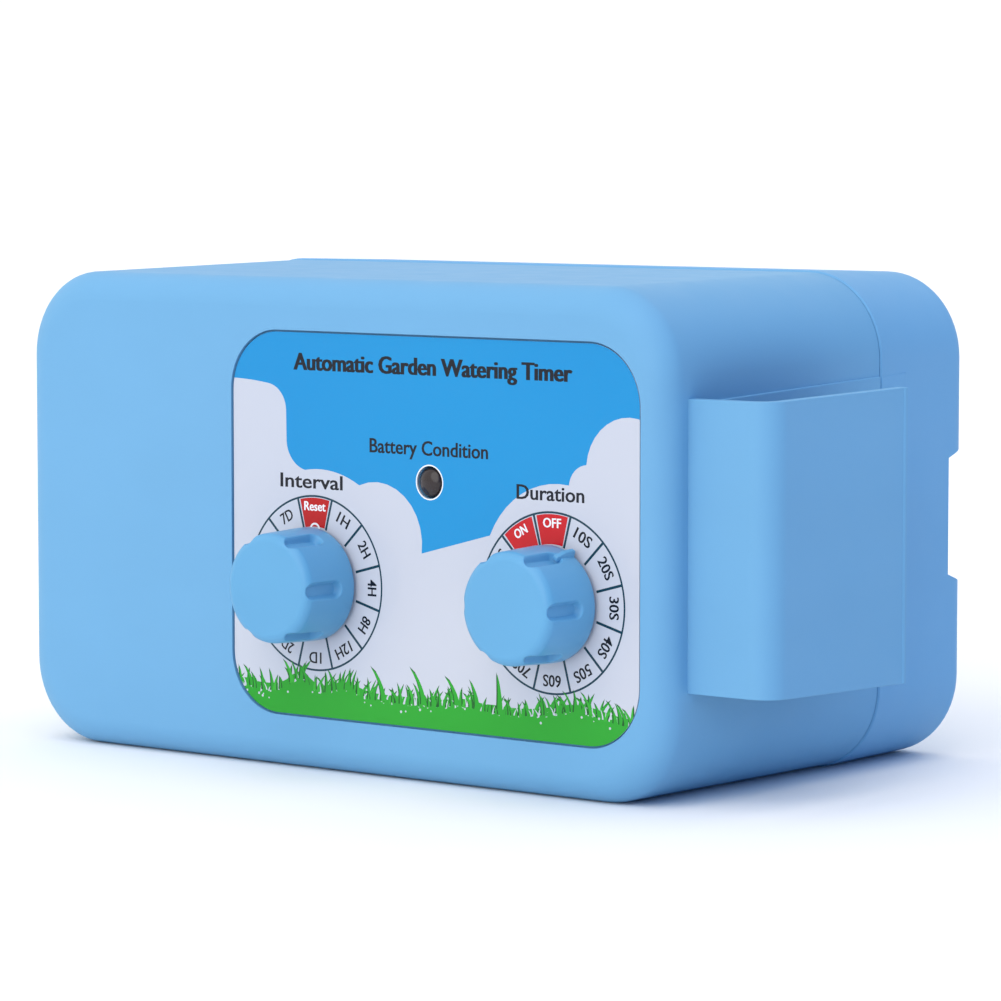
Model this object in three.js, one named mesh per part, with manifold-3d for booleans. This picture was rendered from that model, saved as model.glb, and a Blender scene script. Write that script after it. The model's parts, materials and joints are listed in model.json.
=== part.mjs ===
// Battery drip irrigation timer: a pump, a timer board and four AA cells in a moulded case
// that hooks over the rim of a water tank.
// Millimetres. +X right, +Y back, +Z up. The origin is the middle of the flat base.
import * as THREE from 'three';
import { mergeVertices } from 'three/addons/utils/BufferGeometryUtils.js';
import ManifoldModule from 'manifold-3d';

const wasm = await ManifoldModule();
wasm.setup();

// ---------------------------------------------------------------- driving dimensions
const GAP = 0.3; // clearance between touching pieces
const CASE = { width: 150, depth: 90.6, height: 88, corner: 15.1, wall: 2.4, panel: 2.8 };
const FRONT = -CASE.depth / 2;
const REAR = CASE.depth / 2;
const SEAM = 16.2; // parting plane of front shell and rear cover
const DRAFT = { front: 0.015, rear: 0.019 };
const FILLET = { front: 5.2, rear: 4.2 };
const CORNER_STEPS = 6;
const FILLET_STEPS = 4;
const SINK = 0.5; // how far a joined piece starts inside its neighbour

const LABEL = { x0: -22.1, x1: 68.8, z0: 9.9, z1: 77.6, corner: 10.5, sunk: 0.3, thick: 0.4 };
const RECESS_MARGIN = 0.35;
const RECESS_FLOOR = FRONT + LABEL.sunk + LABEL.thick + GAP;
const DIAL = { z: 33.5, intervalX: -2.9, durationX: 50.3, sectors: 12, hole: 7.5 };
const LED = { x: 23.4, z: 52.6, radius: 2.5, flange: 2.9, hole: 2.85, back: -38, pin: 0.25, pinX: 1.27 };

const CLIP = { front: -38.8, end: 1.0, reach: 91.2, thick: 2.3, bend: 4.7, z: 44, halfRoot: 24.6,
  halfEnd: 25.4 };
const SLOT_PLANE = 74.15; // plane of the side wall inside the slot of the hook
const SLOT_END = 24.5;

const KNOB = { radius: 10, height: 11.9, base: FRONT - 0.6, pointer: 11.3, pointerHeight: 2.2 };
const KNOB_BORE = { cavity: 7.2, cavityDepth: 3.3, shaft: 3.3, shaftDepth: 10.1 };
const FLUTE = { count: 6, radius: 1.5, end: 3.2, length: 12 };
const BUSHING = { radius: 4.3, hole: 3.3, front: -48.8 };
const SHAFT = { radius: 3.0, front: -55.7, back: -36.4, flat: 1.6, flatBack: -50 };
const SWITCH_BODY = { radius: 8.2, front: -42.2, back: -30.2, cavity: -36 };
const SWITCH_NUT = { hole: 4.6, across: 6, washer: 6.2, washerBack: 44.6, back: 45.4, front: 47.4 };

const BOARD = { x0: -18, x1: 60, z0: 14, z1: 74, front: -29.6, back: -28.0, boss: 3, pilot: 1.3, hole: 1.5 };
const BOARD_SCREWS = [[-12.5, 69], [54.5, 69]];

const CASE_SCREW = { x: 64.6, low: 10.4, high: 77.6, seat: 22, boss: 4, pillar: 4.2 };
const CASE_SCREW_HOLE = { pilot: 1.6, clearance: 1.7, head: 3, deep: 3 };
const COVER = { panel: 2.6, lip: 1.1, lipReach: 3, lipRoot: 2.4, lipBite: 0.6 };

const PUMP = { x: -40, y: 0, block: 27, corner: 3, screwOffset: 10.5, screwHole: 1.3 };
const LEVEL = { endCap: [8, 10.7], can: [11, 41], crankcase: [41.3, 52], diaphragm: [52.3, 53.5],
  valvePlate: [53.8, 57], head: [57.3, 66], cushion: [17, 37] }; // heights in the pump, bottom and top
const MOTOR = { radius: 12.2, sheet: 1, rim: 1.2, bearing: 1.6, endCap: 11.8 };
const ROTOR = { shaft: 1, z0: 6.5, z1: 47, brushes: 3.5, brushZ: 13, winding: 9.5, windingZ: [17, 35] };
const ECCENTRIC = { radius: 4.6, throw: 1.3, bore: 1.3, z0: 42.6, z1: 47.4 };
const CRANK = { chamber: 8.5, opening: 2, foot: 3, footZ: 48.6 };
const SPIGOT = { radius: 2, bore: 1.2, end: -20 };
const CUSHION = { inner: 12.5, outer: 13.9 };
const CRADLE = { inner: 14.2, outer: 16, z0: 19, z1: 35, plate: [-18.2, -16.2], screwX: 17.5, screwZ: 27,
  screwHole: 1.5, ear: 4, neck: 5, opening: 6 };
const CRADLE_BOSS = { radius: 3, pilot: 1.4, deep: -32 };
const PORT = { y: 7.5, z: 62, thread: 4.0, flange: 6.2, bore: 1.3, pipe: 2, inner: 62, shoulder: 66.5,
  flangeBack: 75.3, flangeFront: 77.2, tip: 95 };
const PORT_HOLE = PORT.thread + GAP;
const BARB = { starts: [77.2, 82, 87], root: 2.1, edge: 2.9, step: 1.2 };
const PORT_NUT = { across: 6.4, inner: 67.3, outer: 70.3 };
const PORT_SEAL = { radius: 5.1, thickness: 0.7, x: -71.3 };
const TUBE = { inner: 2.3, outer: 3.3, from: 56.4, to: 65.6 };

const BAY = { x0: -0.5, x1: 59, z0: 14.3, z1: 73.7, floor: 26.3, wall: 1.8, outerX: 62.6, side: 2.3,
  base: 1.5 };
const BAY_WIRE = { y: 30, hole: 1.3 };
const CELL = { radius: 7.1, nub: 2.7, length: 49.3, nubLength: 1.2, pitch: 14.9, count: 4 };
const CELL_Y = BAY.floor + GAP + CELL.radius;
const CELL_TIP = 2.0; // nub to bay end wall
const DOOR = { x1: 61.7, z0: 13.5, z1: 74.5, inner: 43.4, outer: 45.2 };
const DOOR_AXIS = { x: -3, y: 43.2, barrel: 1.95, peg: 0.9, pegZ0: 12.9, pegZ1: 75.1, socket: 1.2 };
const TROUGH = { x0: -5, floor: 40, wallX: -6.8, wallFloor: 38.2, recess: 2.35 }; // round the door's barrel
const LATCH = { x0: 61.1, x1: 62.2, tip: 38.4, half: 8, slotX0: 60.8, slotX1: 63, slotHalf: 8.4, lip: 65.4,
  lipFloor: 43.5 };
const DOOR_RIB = { x0: 4, x1: 56, y: 42.6, half: 0.6, z: [24, 44, 64] };
const NOTCH = { x0: 61.6, floor: 39.8, z: 43.9, half: 10, mouth: 11.6, wall: 1.2, wallHalf: 14 };

// ---------------------------------------------------------------- materials
const paint = (color, roughness, metalness = 0) => ({ color, roughness, metalness });
const FINISH = {
  caseBlue: paint(0x78b4e6, 0.5),
  knobBlue: paint(0x74b4e4, 0.45),
  print: paint(0xdfe8f4, 0.25),
  lens: paint(0x3c3232, 0.15),
  black: paint(0x1c1d20, 0.55),
  steel: paint(0xb9bcc0, 0.32, 1),
  nickel: paint(0xc9c6bd, 0.3, 1),
  board: paint(0x1f6b3c, 0.5),
  sleeve: paint(0x2f6fb5, 0.35),
  pumpWhite: paint(0xe6e6e2, 0.5),
  rubber: paint(0x26282b, 0.85),
  silicone: paint(0xdde3e4, 0.4),
  cell: paint(0x3a3f46, 0.35),
  red: paint(0xb3231f, 0.5),
};

// ---------------------------------------------------------------- solids and booleans
// A closed mesh of merged vertices, without the slivers that a pole or a seam leaves.
function closed(geometry) {
  const bare = geometry.index ? geometry.clone() : geometry;
  for (const name of Object.keys(bare.attributes)) {
    if (name !== 'position') bare.deleteAttribute(name);
  }
  const merged = mergeVertices(bare, 1e-4);
  const source = merged.index.array;
  const kept = [];
  for (let i = 0; i < source.length; i += 3) {
    const [a, b, c] = [source[i], source[i + 1], source[i + 2]];
    if (a !== b && b !== c && c !== a) kept.push(a, b, c);
  }
  merged.setIndex(kept);
  return merged;
}

function solid(geometry) {
  const mesh = closed(geometry);
  return new wasm.Manifold(new wasm.Mesh({
    numProp: 3,
    vertProperties: new Float32Array(mesh.attributes.position.array),
    triVerts: new Uint32Array(mesh.index.array),
  }));
}

function toGeometry(manifold) {
  const mesh = manifold.getMesh();
  const geometry = new THREE.BufferGeometry();
  geometry.setAttribute('position', new THREE.BufferAttribute(mesh.vertProperties, 3));
  geometry.setIndex(new THREE.BufferAttribute(mesh.triVerts, 1));
  return geometry;
}

const join = (first, ...others) => others.reduce((sum, piece) => sum.add(solid(piece)), first);
const cut = (first, ...others) => others.reduce((rest, piece) => rest.subtract(solid(piece)), first);

// ---------------------------------------------------------------- basic shapes
function block(x0, x1, y0, y1, z0, z1) {
  const shape = new THREE.BoxGeometry(x1 - x0, y1 - y0, z1 - z0);
  return shape.translate((x0 + x1) / 2, (y0 + y1) / 2, (z0 + z1) / 2);
}

function roundY(radius, x, z, y0, y1, sides = 16) {
  return new THREE.CylinderGeometry(radius, radius, y1 - y0, sides).translate(x, (y0 + y1) / 2, z);
}

function roundX(radius, y, z, x0, x1, sides = 16) {
  const shape = new THREE.CylinderGeometry(radius, radius, x1 - x0, sides).rotateZ(Math.PI / 2);
  return shape.translate((x0 + x1) / 2, y, z);
}

function roundZ(radius, x, y, z0, z1, sides = 16) {
  const shape = new THREE.CylinderGeometry(radius, radius, z1 - z0, sides).rotateX(Math.PI / 2);
  return shape.translate(x, y, (z0 + z1) / 2);
}

// A turned piece: profile pairs are radius and height, up the outside and down the inside.
function turned(profile, sides = 24) {
  return new THREE.LatheGeometry(profile.map(([r, h]) => new THREE.Vector2(r, h)), sides);
}

function ring(inner, outer, h0, h1, sides = 24) {
  return turned([[inner, h0], [outer, h0], [outer, h1], [inner, h1], [inner, h0]], sides);
}

const alongX = (geometry) => geometry.rotateZ(-Math.PI / 2); // height becomes +X
const alongMinusX = (geometry) => geometry.rotateZ(Math.PI / 2); // height becomes -X
const alongMinusY = (geometry) => geometry.rotateX(Math.PI); // height becomes -Y
const alongZ = (geometry) => geometry.rotateX(Math.PI / 2); // height becomes +Z

function roundedRectangle(x0, x1, z0, z1, radius) {
  const shape = new THREE.Shape();
  const quarter = Math.PI / 2;
  shape.absarc(x1 - radius, z0 + radius, radius, -quarter, 0);
  shape.absarc(x1 - radius, z1 - radius, radius, 0, quarter);
  shape.absarc(x0 + radius, z1 - radius, radius, quarter, 2 * quarter);
  shape.absarc(x0 + radius, z0 + radius, radius, 2 * quarter, 3 * quarter);
  shape.closePath();
  return shape;
}

// An outline in X and Z, given thickness along Y.
function plate(shape, y0, y1, curveSegments = 6) {
  const flat = new THREE.ExtrudeGeometry(shape, { depth: y1 - y0, bevelEnabled: false, curveSegments });
  return flat.rotateX(Math.PI / 2).translate(0, y1, 0);
}

// An outline in X and Y, given height along Z.
function column(shape, z0, z1, curveSegments = 6) {
  const flat = new THREE.ExtrudeGeometry(shape, { depth: z1 - z0, bevelEnabled: false, curveSegments });
  return flat.translate(0, 0, z0);
}

// ---------------------------------------------------------------- case outline
// The outline of the case at one depth: the base is flat, the other sides have draft.
function caseSection(y, inset, cornerInset) {
  const draft = y < SEAM ? DRAFT.front * (SEAM - y) : DRAFT.rear * (y - SEAM);
  const half = CASE.width / 2 - draft - inset;
  const low = inset;
  const high = CASE.height - draft - inset;
  const radius = CASE.corner - draft / 2 - cornerInset;
  const centres = [[half - radius, low + radius], [half - radius, high - radius],
    [radius - half, high - radius], [radius - half, low + radius]];
  const points = [];
  centres.forEach(([x, z], quarter) => {
    for (let k = 0; k <= CORNER_STEPS; k += 1) {
      const angle = ((quarter - 1) + k / CORNER_STEPS) * Math.PI / 2;
      points.push([x + radius * Math.cos(angle), y, z + radius * Math.sin(angle)]);
    }
  });
  return points;
}

// A solid skinned over outlines that follow each other from front to back.
function loft(sections) {
  const count = sections[0].length;
  const index = [];
  for (let s = 0; s < sections.length - 1; s += 1) {
    for (let i = 0; i < count; i += 1) {
      const a = s * count + i;
      const b = s * count + (i + 1) % count;
      index.push(a, a + count, b, b, a + count, b + count);
    }
  }
  const last = (sections.length - 1) * count;
  for (let i = 1; i < count - 1; i += 1) {
    index.push(0, i, i + 1, last, last + i + 1, last + i);
  }
  const geometry = new THREE.BufferGeometry();
  geometry.setAttribute('position', new THREE.Float32BufferAttribute(sections.flat(2), 3));
  geometry.setIndex(index);
  return geometry;
}

// Outlines around a filleted end of the case, from its flat face to where the fillet ends.
function filletSections(end, radius) {
  const inward = Math.sign(-end);
  const sections = [];
  for (let k = 0; k <= FILLET_STEPS; k += 1) {
    const angle = k / FILLET_STEPS * Math.PI / 2;
    const inset = radius * (1 - Math.sin(angle));
    const y = end + inward * radius * (1 - Math.cos(angle));
    sections.push(caseSection(y, inset, inset / 2));
  }
  return inward > 0 ? sections : sections.reverse();
}

const hollow = (y0, y1, inset) => loft([caseSection(y0, inset, inset), caseSection(y1, inset, inset)]);

const corners = [1, -1].flatMap((side) => [CASE_SCREW.low, CASE_SCREW.high]
  .map((z) => [side * CASE_SCREW.x, z]));
const dialCentres = [DIAL.intervalX, DIAL.durationX];
const portSides = [-PORT.y, PORT.y];

// ---------------------------------------------------------------- front shell
// The hook: a leg straight out of the side wall and a leaf parallel to the wall.
function hook() {
  const inner = CLIP.reach - CLIP.thick;
  const root = CASE.width / 2 - 1.6;
  const shape = new THREE.Shape();
  shape.moveTo(root, CLIP.front);
  shape.lineTo(CLIP.reach - CLIP.bend, CLIP.front);
  shape.absarc(CLIP.reach - CLIP.bend, CLIP.front + CLIP.bend, CLIP.bend, -Math.PI / 2, 0);
  shape.lineTo(CLIP.reach, CLIP.end);
  shape.lineTo(inner, CLIP.end);
  shape.absarc(CLIP.reach - CLIP.bend, CLIP.front + CLIP.bend, CLIP.bend - CLIP.thick, 0, -Math.PI / 2, true);
  shape.lineTo(root, CLIP.front + CLIP.thick);
  shape.closePath();
  const geometry = closed(column(shape, -1, 1));
  const position = geometry.attributes.position;
  const widening = (CLIP.halfEnd - CLIP.halfRoot) / (CLIP.end - CLIP.front);
  for (let i = 0; i < position.count; i += 1) {
    const half = CLIP.halfRoot + widening * (position.getY(i) - CLIP.front);
    position.setZ(i, CLIP.z + position.getZ(i) * half);
  }
  return geometry;
}

function slotFootprint(y0, y1) {
  return block(SLOT_PLANE, CASE.width / 2 + 1, y0, y1, CLIP.z - CLIP.halfEnd, CLIP.z + CLIP.halfEnd);
}

function frontShell() {
  const end = SEAM - GAP / 2;
  const inside = FRONT + CASE.panel;
  let shell = solid(loft([...filletSections(FRONT, FILLET.front), caseSection(end, 0, 0)]));
  shell = cut(shell, hollow(inside, SEAM + 1, CASE.wall));
  shell = join(shell, hook());
  shell = cut(shell, slotFootprint(CLIP.front + CLIP.thick, SEAM + 1));
  const m = RECESS_MARGIN;
  const recess = roundedRectangle(LABEL.x0 - m, LABEL.x1 + m, LABEL.z0 - m, LABEL.z1 + m, LABEL.corner + m);
  shell = cut(shell, plate(recess, FRONT - 1, RECESS_FLOOR));
  const root = inside - SINK;
  for (const [x, z] of corners) {
    shell = join(shell, roundY(CASE_SCREW.boss, x, z, root, end, 12));
    shell = cut(shell, roundY(CASE_SCREW_HOLE.pilot, x, z, CASE_SCREW_HOLE.deep, SEAM + 1, 8));
  }
  for (const [x, z] of BOARD_SCREWS) {
    shell = join(shell, roundY(BOARD.boss, x, z, root, BOARD.front - GAP, 12));
    shell = cut(shell, roundY(BOARD.pilot, x, z, BOARD.front - 9.4, SEAM, 8));
  }
  for (const side of [-1, 1]) {
    const x = PUMP.x + side * CRADLE.screwX;
    shell = join(shell, roundY(CRADLE_BOSS.radius, x, CRADLE.screwZ, root, CRADLE.plate[0] - GAP, 12));
    shell = cut(shell, roundY(CRADLE_BOSS.pilot, x, CRADLE.screwZ, CRADLE_BOSS.deep, SEAM, 8));
  }
  const through = inside + 2;
  for (const x of dialCentres) {
    shell = cut(shell, roundY(BUSHING.radius + GAP, x, DIAL.z, FRONT - 1, through, 20));
  }
  shell = cut(shell, roundY(LED.hole, LED.x, LED.z, FRONT - 1, through, 16));
  for (const y of portSides) {
    shell = cut(shell, roundX(PORT_HOLE, y, PORT.z, -CASE.width / 2 - 1, CASE.wall + 1 - CASE.width / 2, 20));
  }
  return toGeometry(shell);
}

// ---------------------------------------------------------------- rear cover and battery door
// The finger notch in the rear right edge, wider at its mouth.
function notchCutter() {
  const shape = new THREE.Shape();
  const over = REAR + 1;
  const spread = NOTCH.half + (NOTCH.mouth - NOTCH.half) * (over - NOTCH.floor) / 3;
  shape.moveTo(NOTCH.floor, NOTCH.z - NOTCH.half);
  shape.lineTo(over, NOTCH.z - spread);
  shape.lineTo(over, NOTCH.z + spread);
  shape.lineTo(NOTCH.floor, NOTCH.z + NOTCH.half);
  shape.closePath();
  const length = CASE.width / 2 + 2 - NOTCH.x0;
  const bar = new THREE.ExtrudeGeometry(shape, { depth: length, bevelEnabled: false });
  // Shape X becomes +Y, shape Y becomes +Z and the extrusion becomes +X.
  bar.applyMatrix4(new THREE.Matrix4().set(0, 0, 1, NOTCH.x0, 1, 0, 0, 0, 0, 1, 0, 0, 0, 0, 0, 1));
  return bar;
}

function rearCover() {
  const start = SEAM + GAP / 2;
  const inside = REAR - COVER.panel;
  const over = REAR + 1;
  const lipOut = CASE.wall + GAP;
  let cover = solid(loft([caseSection(start, 0, 0), ...filletSections(REAR, FILLET.rear)]));
  cover = cut(cover, hollow(start - 1, inside, CASE.wall));
  let lip = solid(hollow(start - COVER.lipReach, start + 1.5, lipOut));
  lip = join(lip, hollow(start + 0.8, start + COVER.lipRoot, CASE.wall - COVER.lipBite));
  lip = cut(lip, hollow(start - COVER.lipReach - 1, start + COVER.lipRoot + 1.6, lipOut + COVER.lip));
  cover = cover.add(lip);
  const outer = { z0: BAY.z0 - BAY.side, z1: BAY.z1 + BAY.side };
  cover = join(cover,
    block(BAY.x0 - BAY.wall, BAY.outerX, BAY.floor - BAY.base, inside + SINK, outer.z0, outer.z1),
    block(TROUGH.wallX, BAY.x0, TROUGH.wallFloor, inside + SINK, outer.z0, outer.z1),
    block(NOTCH.x0 - NOTCH.wall, CASE.width / 2 - 1.6, NOTCH.floor - 2, inside + SINK,
      NOTCH.z - NOTCH.wallHalf, NOTCH.z + NOTCH.wallHalf));
  for (const [x, z] of corners) {
    cover = join(cover, roundY(CASE_SCREW.pillar, x, z, start, inside + SINK, 12));
  }
  const { x, y, socket, pegZ0, pegZ1 } = DOOR_AXIS;
  cover = cut(cover,
    block(BAY.x0, BAY.x1, BAY.floor, over, BAY.z0, BAY.z1),
    block(TROUGH.x0, BAY.x0 + 1, TROUGH.floor, over, BAY.z0, BAY.z1),
    block(x - TROUGH.recess, DOOR.x1 + GAP, y, over, DOOR.z0 - GAP, DOOR.z1 + GAP),
    block(x - socket, x + socket, y, over, pegZ0 - GAP, pegZ1 + GAP),
    roundZ(socket, x, y, pegZ0 - GAP, pegZ1 + GAP, 12),
    notchCutter(),
    block(LATCH.slotX0, LATCH.slotX1, NOTCH.floor - 3, over, NOTCH.z - LATCH.slotHalf,
      NOTCH.z + LATCH.slotHalf),
    slotFootprint(start - 1, SLOT_END));
  for (const [cx, z] of corners) {
    cover = cut(cover, roundY(CASE_SCREW_HOLE.head, cx, z, CASE_SCREW.seat, over, 12),
      roundY(CASE_SCREW_HOLE.clearance, cx, z, SEAM - 1, SEAM + 8, 8));
  }
  for (const index of [0, CELL.count - 1]) {
    cover = cut(cover, roundX(BAY_WIRE.hole, BAY_WIRE.y, cellZ(index), BAY.x0 - BAY.wall - 1, BAY.x0 + 1, 8));
  }
  return toGeometry(cover);
}

// The door turns on two pegs at its left end and has a thumb latch in the finger notch.
function batteryDoor() {
  const { x, y, barrel, peg, pegZ0, pegZ1 } = DOOR_AXIS;
  const low = NOTCH.z - LATCH.half;
  const high = NOTCH.z + LATCH.half;
  let door = solid(block(x, DOOR.x1, DOOR.inner, DOOR.outer, DOOR.z0, DOOR.z1));
  door = join(door,
    roundZ(barrel, x, y, BAY.z0 + GAP, BAY.z1 - GAP, 24),
    roundZ(peg, x, y, pegZ0, pegZ1, 12),
    block(LATCH.x0, LATCH.x1, LATCH.tip, DOOR.outer, low, high),
    block(LATCH.x1 - 0.2, LATCH.lip, LATCH.lipFloor, DOOR.outer - 0.2, low, high));
  for (const z of DOOR_RIB.z) {
    door = join(door, block(DOOR_RIB.x0, DOOR_RIB.x1, DOOR_RIB.y, DOOR.inner + 0.2, z - DOOR_RIB.half,
      z + DOOR_RIB.half));
  }
  return toGeometry(door);
}

// ---------------------------------------------------------------- front panel pieces
function labelPanel() {
  const shape = roundedRectangle(LABEL.x0, LABEL.x1, LABEL.z0, LABEL.z1, LABEL.corner);
  const hole = (x, z, radius) => shape.holes.push(new THREE.Path().absarc(x, z, radius, 0, 2 * Math.PI));
  for (const x of dialCentres) hole(x, DIAL.z, DIAL.hole);
  hole(LED.x, LED.z, LED.hole);
  const top = FRONT + LABEL.sunk;
  return closed(plate(shape, top, top + LABEL.thick, 8));
}

// Fluted cap over the switch nut; its pointer stands over one flute.
function knob() {
  const { radius, height, pointer, pointerHeight } = KNOB;
  const { cavity, cavityDepth, shaft, shaftDepth } = KNOB_BORE;
  let body = solid(turned([[0, shaftDepth], [shaft, shaftDepth], [shaft, cavityDepth], [cavity, cavityDepth],
    [cavity, 0], [radius, 0], [radius, 2.7], [radius - 0.25, 3.1], [radius - 0.45, height - 1.3],
    [radius - 0.8, height - 0.5], [radius - 1.5, height], [0, height]], 32));
  for (let i = 0; i < FLUTE.count; i += 1) {
    const flute = new THREE.CapsuleGeometry(FLUTE.radius, FLUTE.length, 2, 8);
    flute.translate(0, FLUTE.end + FLUTE.radius + FLUTE.length / 2, radius + 0.15);
    body = cut(body, flute.rotateY(i / FLUTE.count * 2 * Math.PI));
  }
  const fin = new THREE.Shape();
  fin.moveTo(-1.1, radius - 0.8);
  fin.lineTo(1.1, radius - 0.8);
  fin.lineTo(0.35, pointer);
  fin.lineTo(-0.35, pointer);
  fin.closePath();
  // The fin's outline lies across the knob's axis, pointing along -Z before the knob is turned over.
  const finBody = new THREE.ExtrudeGeometry(fin, { depth: pointerHeight, bevelEnabled: false });
  body = join(body, finBody.rotateX(-Math.PI / 2));
  return alongMinusY(toGeometry(body)).translate(0, KNOB.base, 0);
}

function switchBody() {
  let body = solid(roundY(SWITCH_BODY.radius, 0, 0, SWITCH_BODY.front, SWITCH_BODY.back, 20));
  body = join(body, roundY(BUSHING.radius, 0, 0, BUSHING.front, SWITCH_BODY.front + SINK, 20));
  return toGeometry(cut(body, roundY(BUSHING.hole, 0, 0, BUSHING.front - 1, SWITCH_BODY.cavity, 20)));
}

function switchShaft() {
  const { radius, front, back, flat, flatBack } = SHAFT;
  const shaft = solid(roundY(radius, 0, 0, front, back, 20));
  return toGeometry(cut(shaft, block(-radius - 1, radius + 1, front - 1, flatBack, flat, radius + 1)));
}

function hexNut(hole, across, h0, h1) {
  return toGeometry(cut(solid(turned([[0, h0], [across, h0], [across, h1], [0, h1]], 6)),
    turned([[0, h0 - 1], [hole, h0 - 1], [hole, h1 + 1], [0, h1 + 1]], 16)));
}

function statusLed() {
  const { radius, flange, back, pin, pinX } = LED;
  const dome = turned([[0, 0], [flange, 0], [flange, 1], [radius, 1], [radius, 6.2], [radius - 0.4, 7.0],
    [radius - 1.3, 7.5], [0, 7.6]], 14);
  let led = solid(alongMinusY(dome).translate(0, back, 0));
  for (const side of [-1, 1]) {
    led = join(led, block(side * pinX - pin, side * pinX + pin, back - SINK, BOARD.front - GAP, -pin, pin));
  }
  return toGeometry(led);
}

// ---------------------------------------------------------------- timer board
function controlBoard() {
  const board = solid(block(BOARD.x0, BOARD.x1, BOARD.front, BOARD.back, BOARD.z0, BOARD.z1));
  const holes = BOARD_SCREWS.map(([x, z]) => roundY(BOARD.hole, x, z, BOARD.front - 1, BOARD.back + 1, 12));
  return toGeometry(cut(board, ...holes));
}

// A slotted pan-head screw: head on +Y, shank towards -Y, the underside of the head at y = 0.
function screw(headRadius, shankRadius, length) {
  const profile = [[0, -length], [shankRadius, -length], [shankRadius, 0], [headRadius, 0], [headRadius, 0.9],
    [headRadius * 0.7, 1.6], [0, 1.6]];
  return toGeometry(cut(solid(turned(profile, 10)), block(-3, 3, 1.0, 2, -0.3, 0.3)));
}

// ---------------------------------------------------------------- pump, about its own Z axis
function motorCan() {
  const [low, high] = LEVEL.can;
  const { radius, sheet, rim, bearing } = MOTOR;
  const inner = radius - sheet;
  return closed(alongZ(turned([[inner, low], [radius, low], [radius, high - sheet], [inner, high],
    [bearing, high], [bearing, high - rim], [inner, high - rim], [inner, low]], 28)));
}

function motorRotor() {
  const { shaft, z0, z1, brushes, brushZ, winding, windingZ: [low, high] } = ROTOR;
  return closed(alongZ(turned([[0, z0], [shaft, z0], [shaft, brushZ], [brushes, brushZ], [brushes, low],
    [winding, low], [winding, high], [shaft, high], [shaft, z1], [0, z1]], 20)));
}

function pumpEccentric() {
  const { radius, bore, z0, z1 } = ECCENTRIC;
  const disc = solid(roundZ(radius, ECCENTRIC.throw, 0, z0, z1, 16));
  return toGeometry(cut(disc, roundZ(bore, 0, 0, z0 - 1, z1 + 1, 12)));
}

const pumpScrewSpots = [1, -1].map((side) => [side * PUMP.screwOffset, side * PUMP.screwOffset]);

function pumpBlock([z0, z1]) {
  const half = PUMP.block / 2;
  return solid(column(roundedRectangle(-half, half, -half, half, PUMP.corner), z0, z1, 3));
}

function drilled(body, z0, z1) {
  return cut(body, ...pumpScrewSpots.map(([x, y]) => roundZ(PUMP.screwHole, x, y, z0, z1, 8)));
}

function pumpCrankcase() {
  const [low, high] = LEVEL.crankcase;
  const body = cut(pumpBlock(LEVEL.crankcase),
    roundZ(CRANK.chamber, 0, 0, low + 1, high + 1, 20), roundZ(CRANK.opening, 0, 0, low - 1, low + 2, 12));
  return toGeometry(drilled(body, low + 1.7, high + 1));
}

function pumpDiaphragm() {
  const [low, high] = LEVEL.diaphragm;
  const disc = join(pumpBlock(LEVEL.diaphragm), roundZ(CRANK.foot, 0, 0, CRANK.footZ, low + 0.3, 12));
  return toGeometry(drilled(disc, low - 1, high + 1));
}

function pumpValvePlate() {
  const [low, high] = LEVEL.valvePlate;
  return toGeometry(drilled(pumpBlock(LEVEL.valvePlate), low - 1, high + 1));
}

function pumpHead() {
  const [low, high] = LEVEL.head;
  const { radius, bore, end } = SPIGOT;
  let head = pumpBlock(LEVEL.head);
  for (const y of portSides) head = join(head, roundX(radius, y, PORT.z, end, SINK - PUMP.block / 2, 12));
  for (const y of portSides) head = cut(head, roundX(bore, y, PORT.z, end - 1, -6, 8));
  return toGeometry(drilled(head, low - 1, high + 1));
}

// A snap clip round the motor, on a plate that screws to two bosses of the shell.
function pumpCradle() {
  const { inner, outer, z0, z1, plate: [p0, p1], screwX, screwZ, screwHole, ear, neck, opening } = CRADLE;
  let clip = solid(roundZ(outer, 0, 0, z0, z1, 28));
  clip = join(clip, block(-screwX - ear, screwX + ear, p0, p1, z0, z1),
    block(-neck, neck, p1 - SINK, 1.2 - outer, z0, z1));
  clip = cut(clip, roundZ(inner, 0, 0, z0 - 1, z1 + 1, 28), block(-20, 20, opening, 20, z0 - 1, z1 + 1));
  for (const side of [-1, 1]) {
    clip = cut(clip, roundY(screwHole, side * screwX, screwZ, p0 - 1, p1 + 1, 12));
  }
  return toGeometry(clip);
}

// ---------------------------------------------------------------- hose ports, about X at x = 0
function portBody() {
  const { thread, flange, bore, pipe, inner, shoulder, flangeBack, flangeFront, tip } = PORT;
  const { root, edge, step } = BARB;
  const barbs = BARB.starts.flatMap((h) => [[root, h], [root, h + step], [edge, h + step]]);
  return alongMinusX(turned([[bore, inner], [pipe, inner], [pipe, shoulder], [thread, shoulder],
    [thread, flangeBack], [flange, flangeBack], [flange, flangeFront], ...barbs, [pipe, tip], [bore, tip],
    [bore, inner]], 14));
}

// ---------------------------------------------------------------- cells and terminals
function cellZ(index) {
  return BAY.z0 + (BAY.z1 - BAY.z0) / 2 + (index - (CELL.count - 1) / 2) * CELL.pitch;
}

const cellPlusRight = (index) => index % 2 === 0;

function cellBody(index) {
  const { radius, nub, length, nubLength } = CELL;
  const edge = radius - 0.6;
  const reach = length + nubLength;
  const body = turned([[0, 0], [edge, 0], [radius, 0.6], [radius, length - 0.6], [edge, length],
    [nub, length], [nub, reach], [0, reach]], 16);
  if (cellPlusRight(index)) return alongX(body).translate(BAY.x1 - CELL_TIP - reach, 0, 0);
  return alongMinusX(body).translate(BAY.x0 + CELL_TIP + reach, 0, 0);
}

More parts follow.
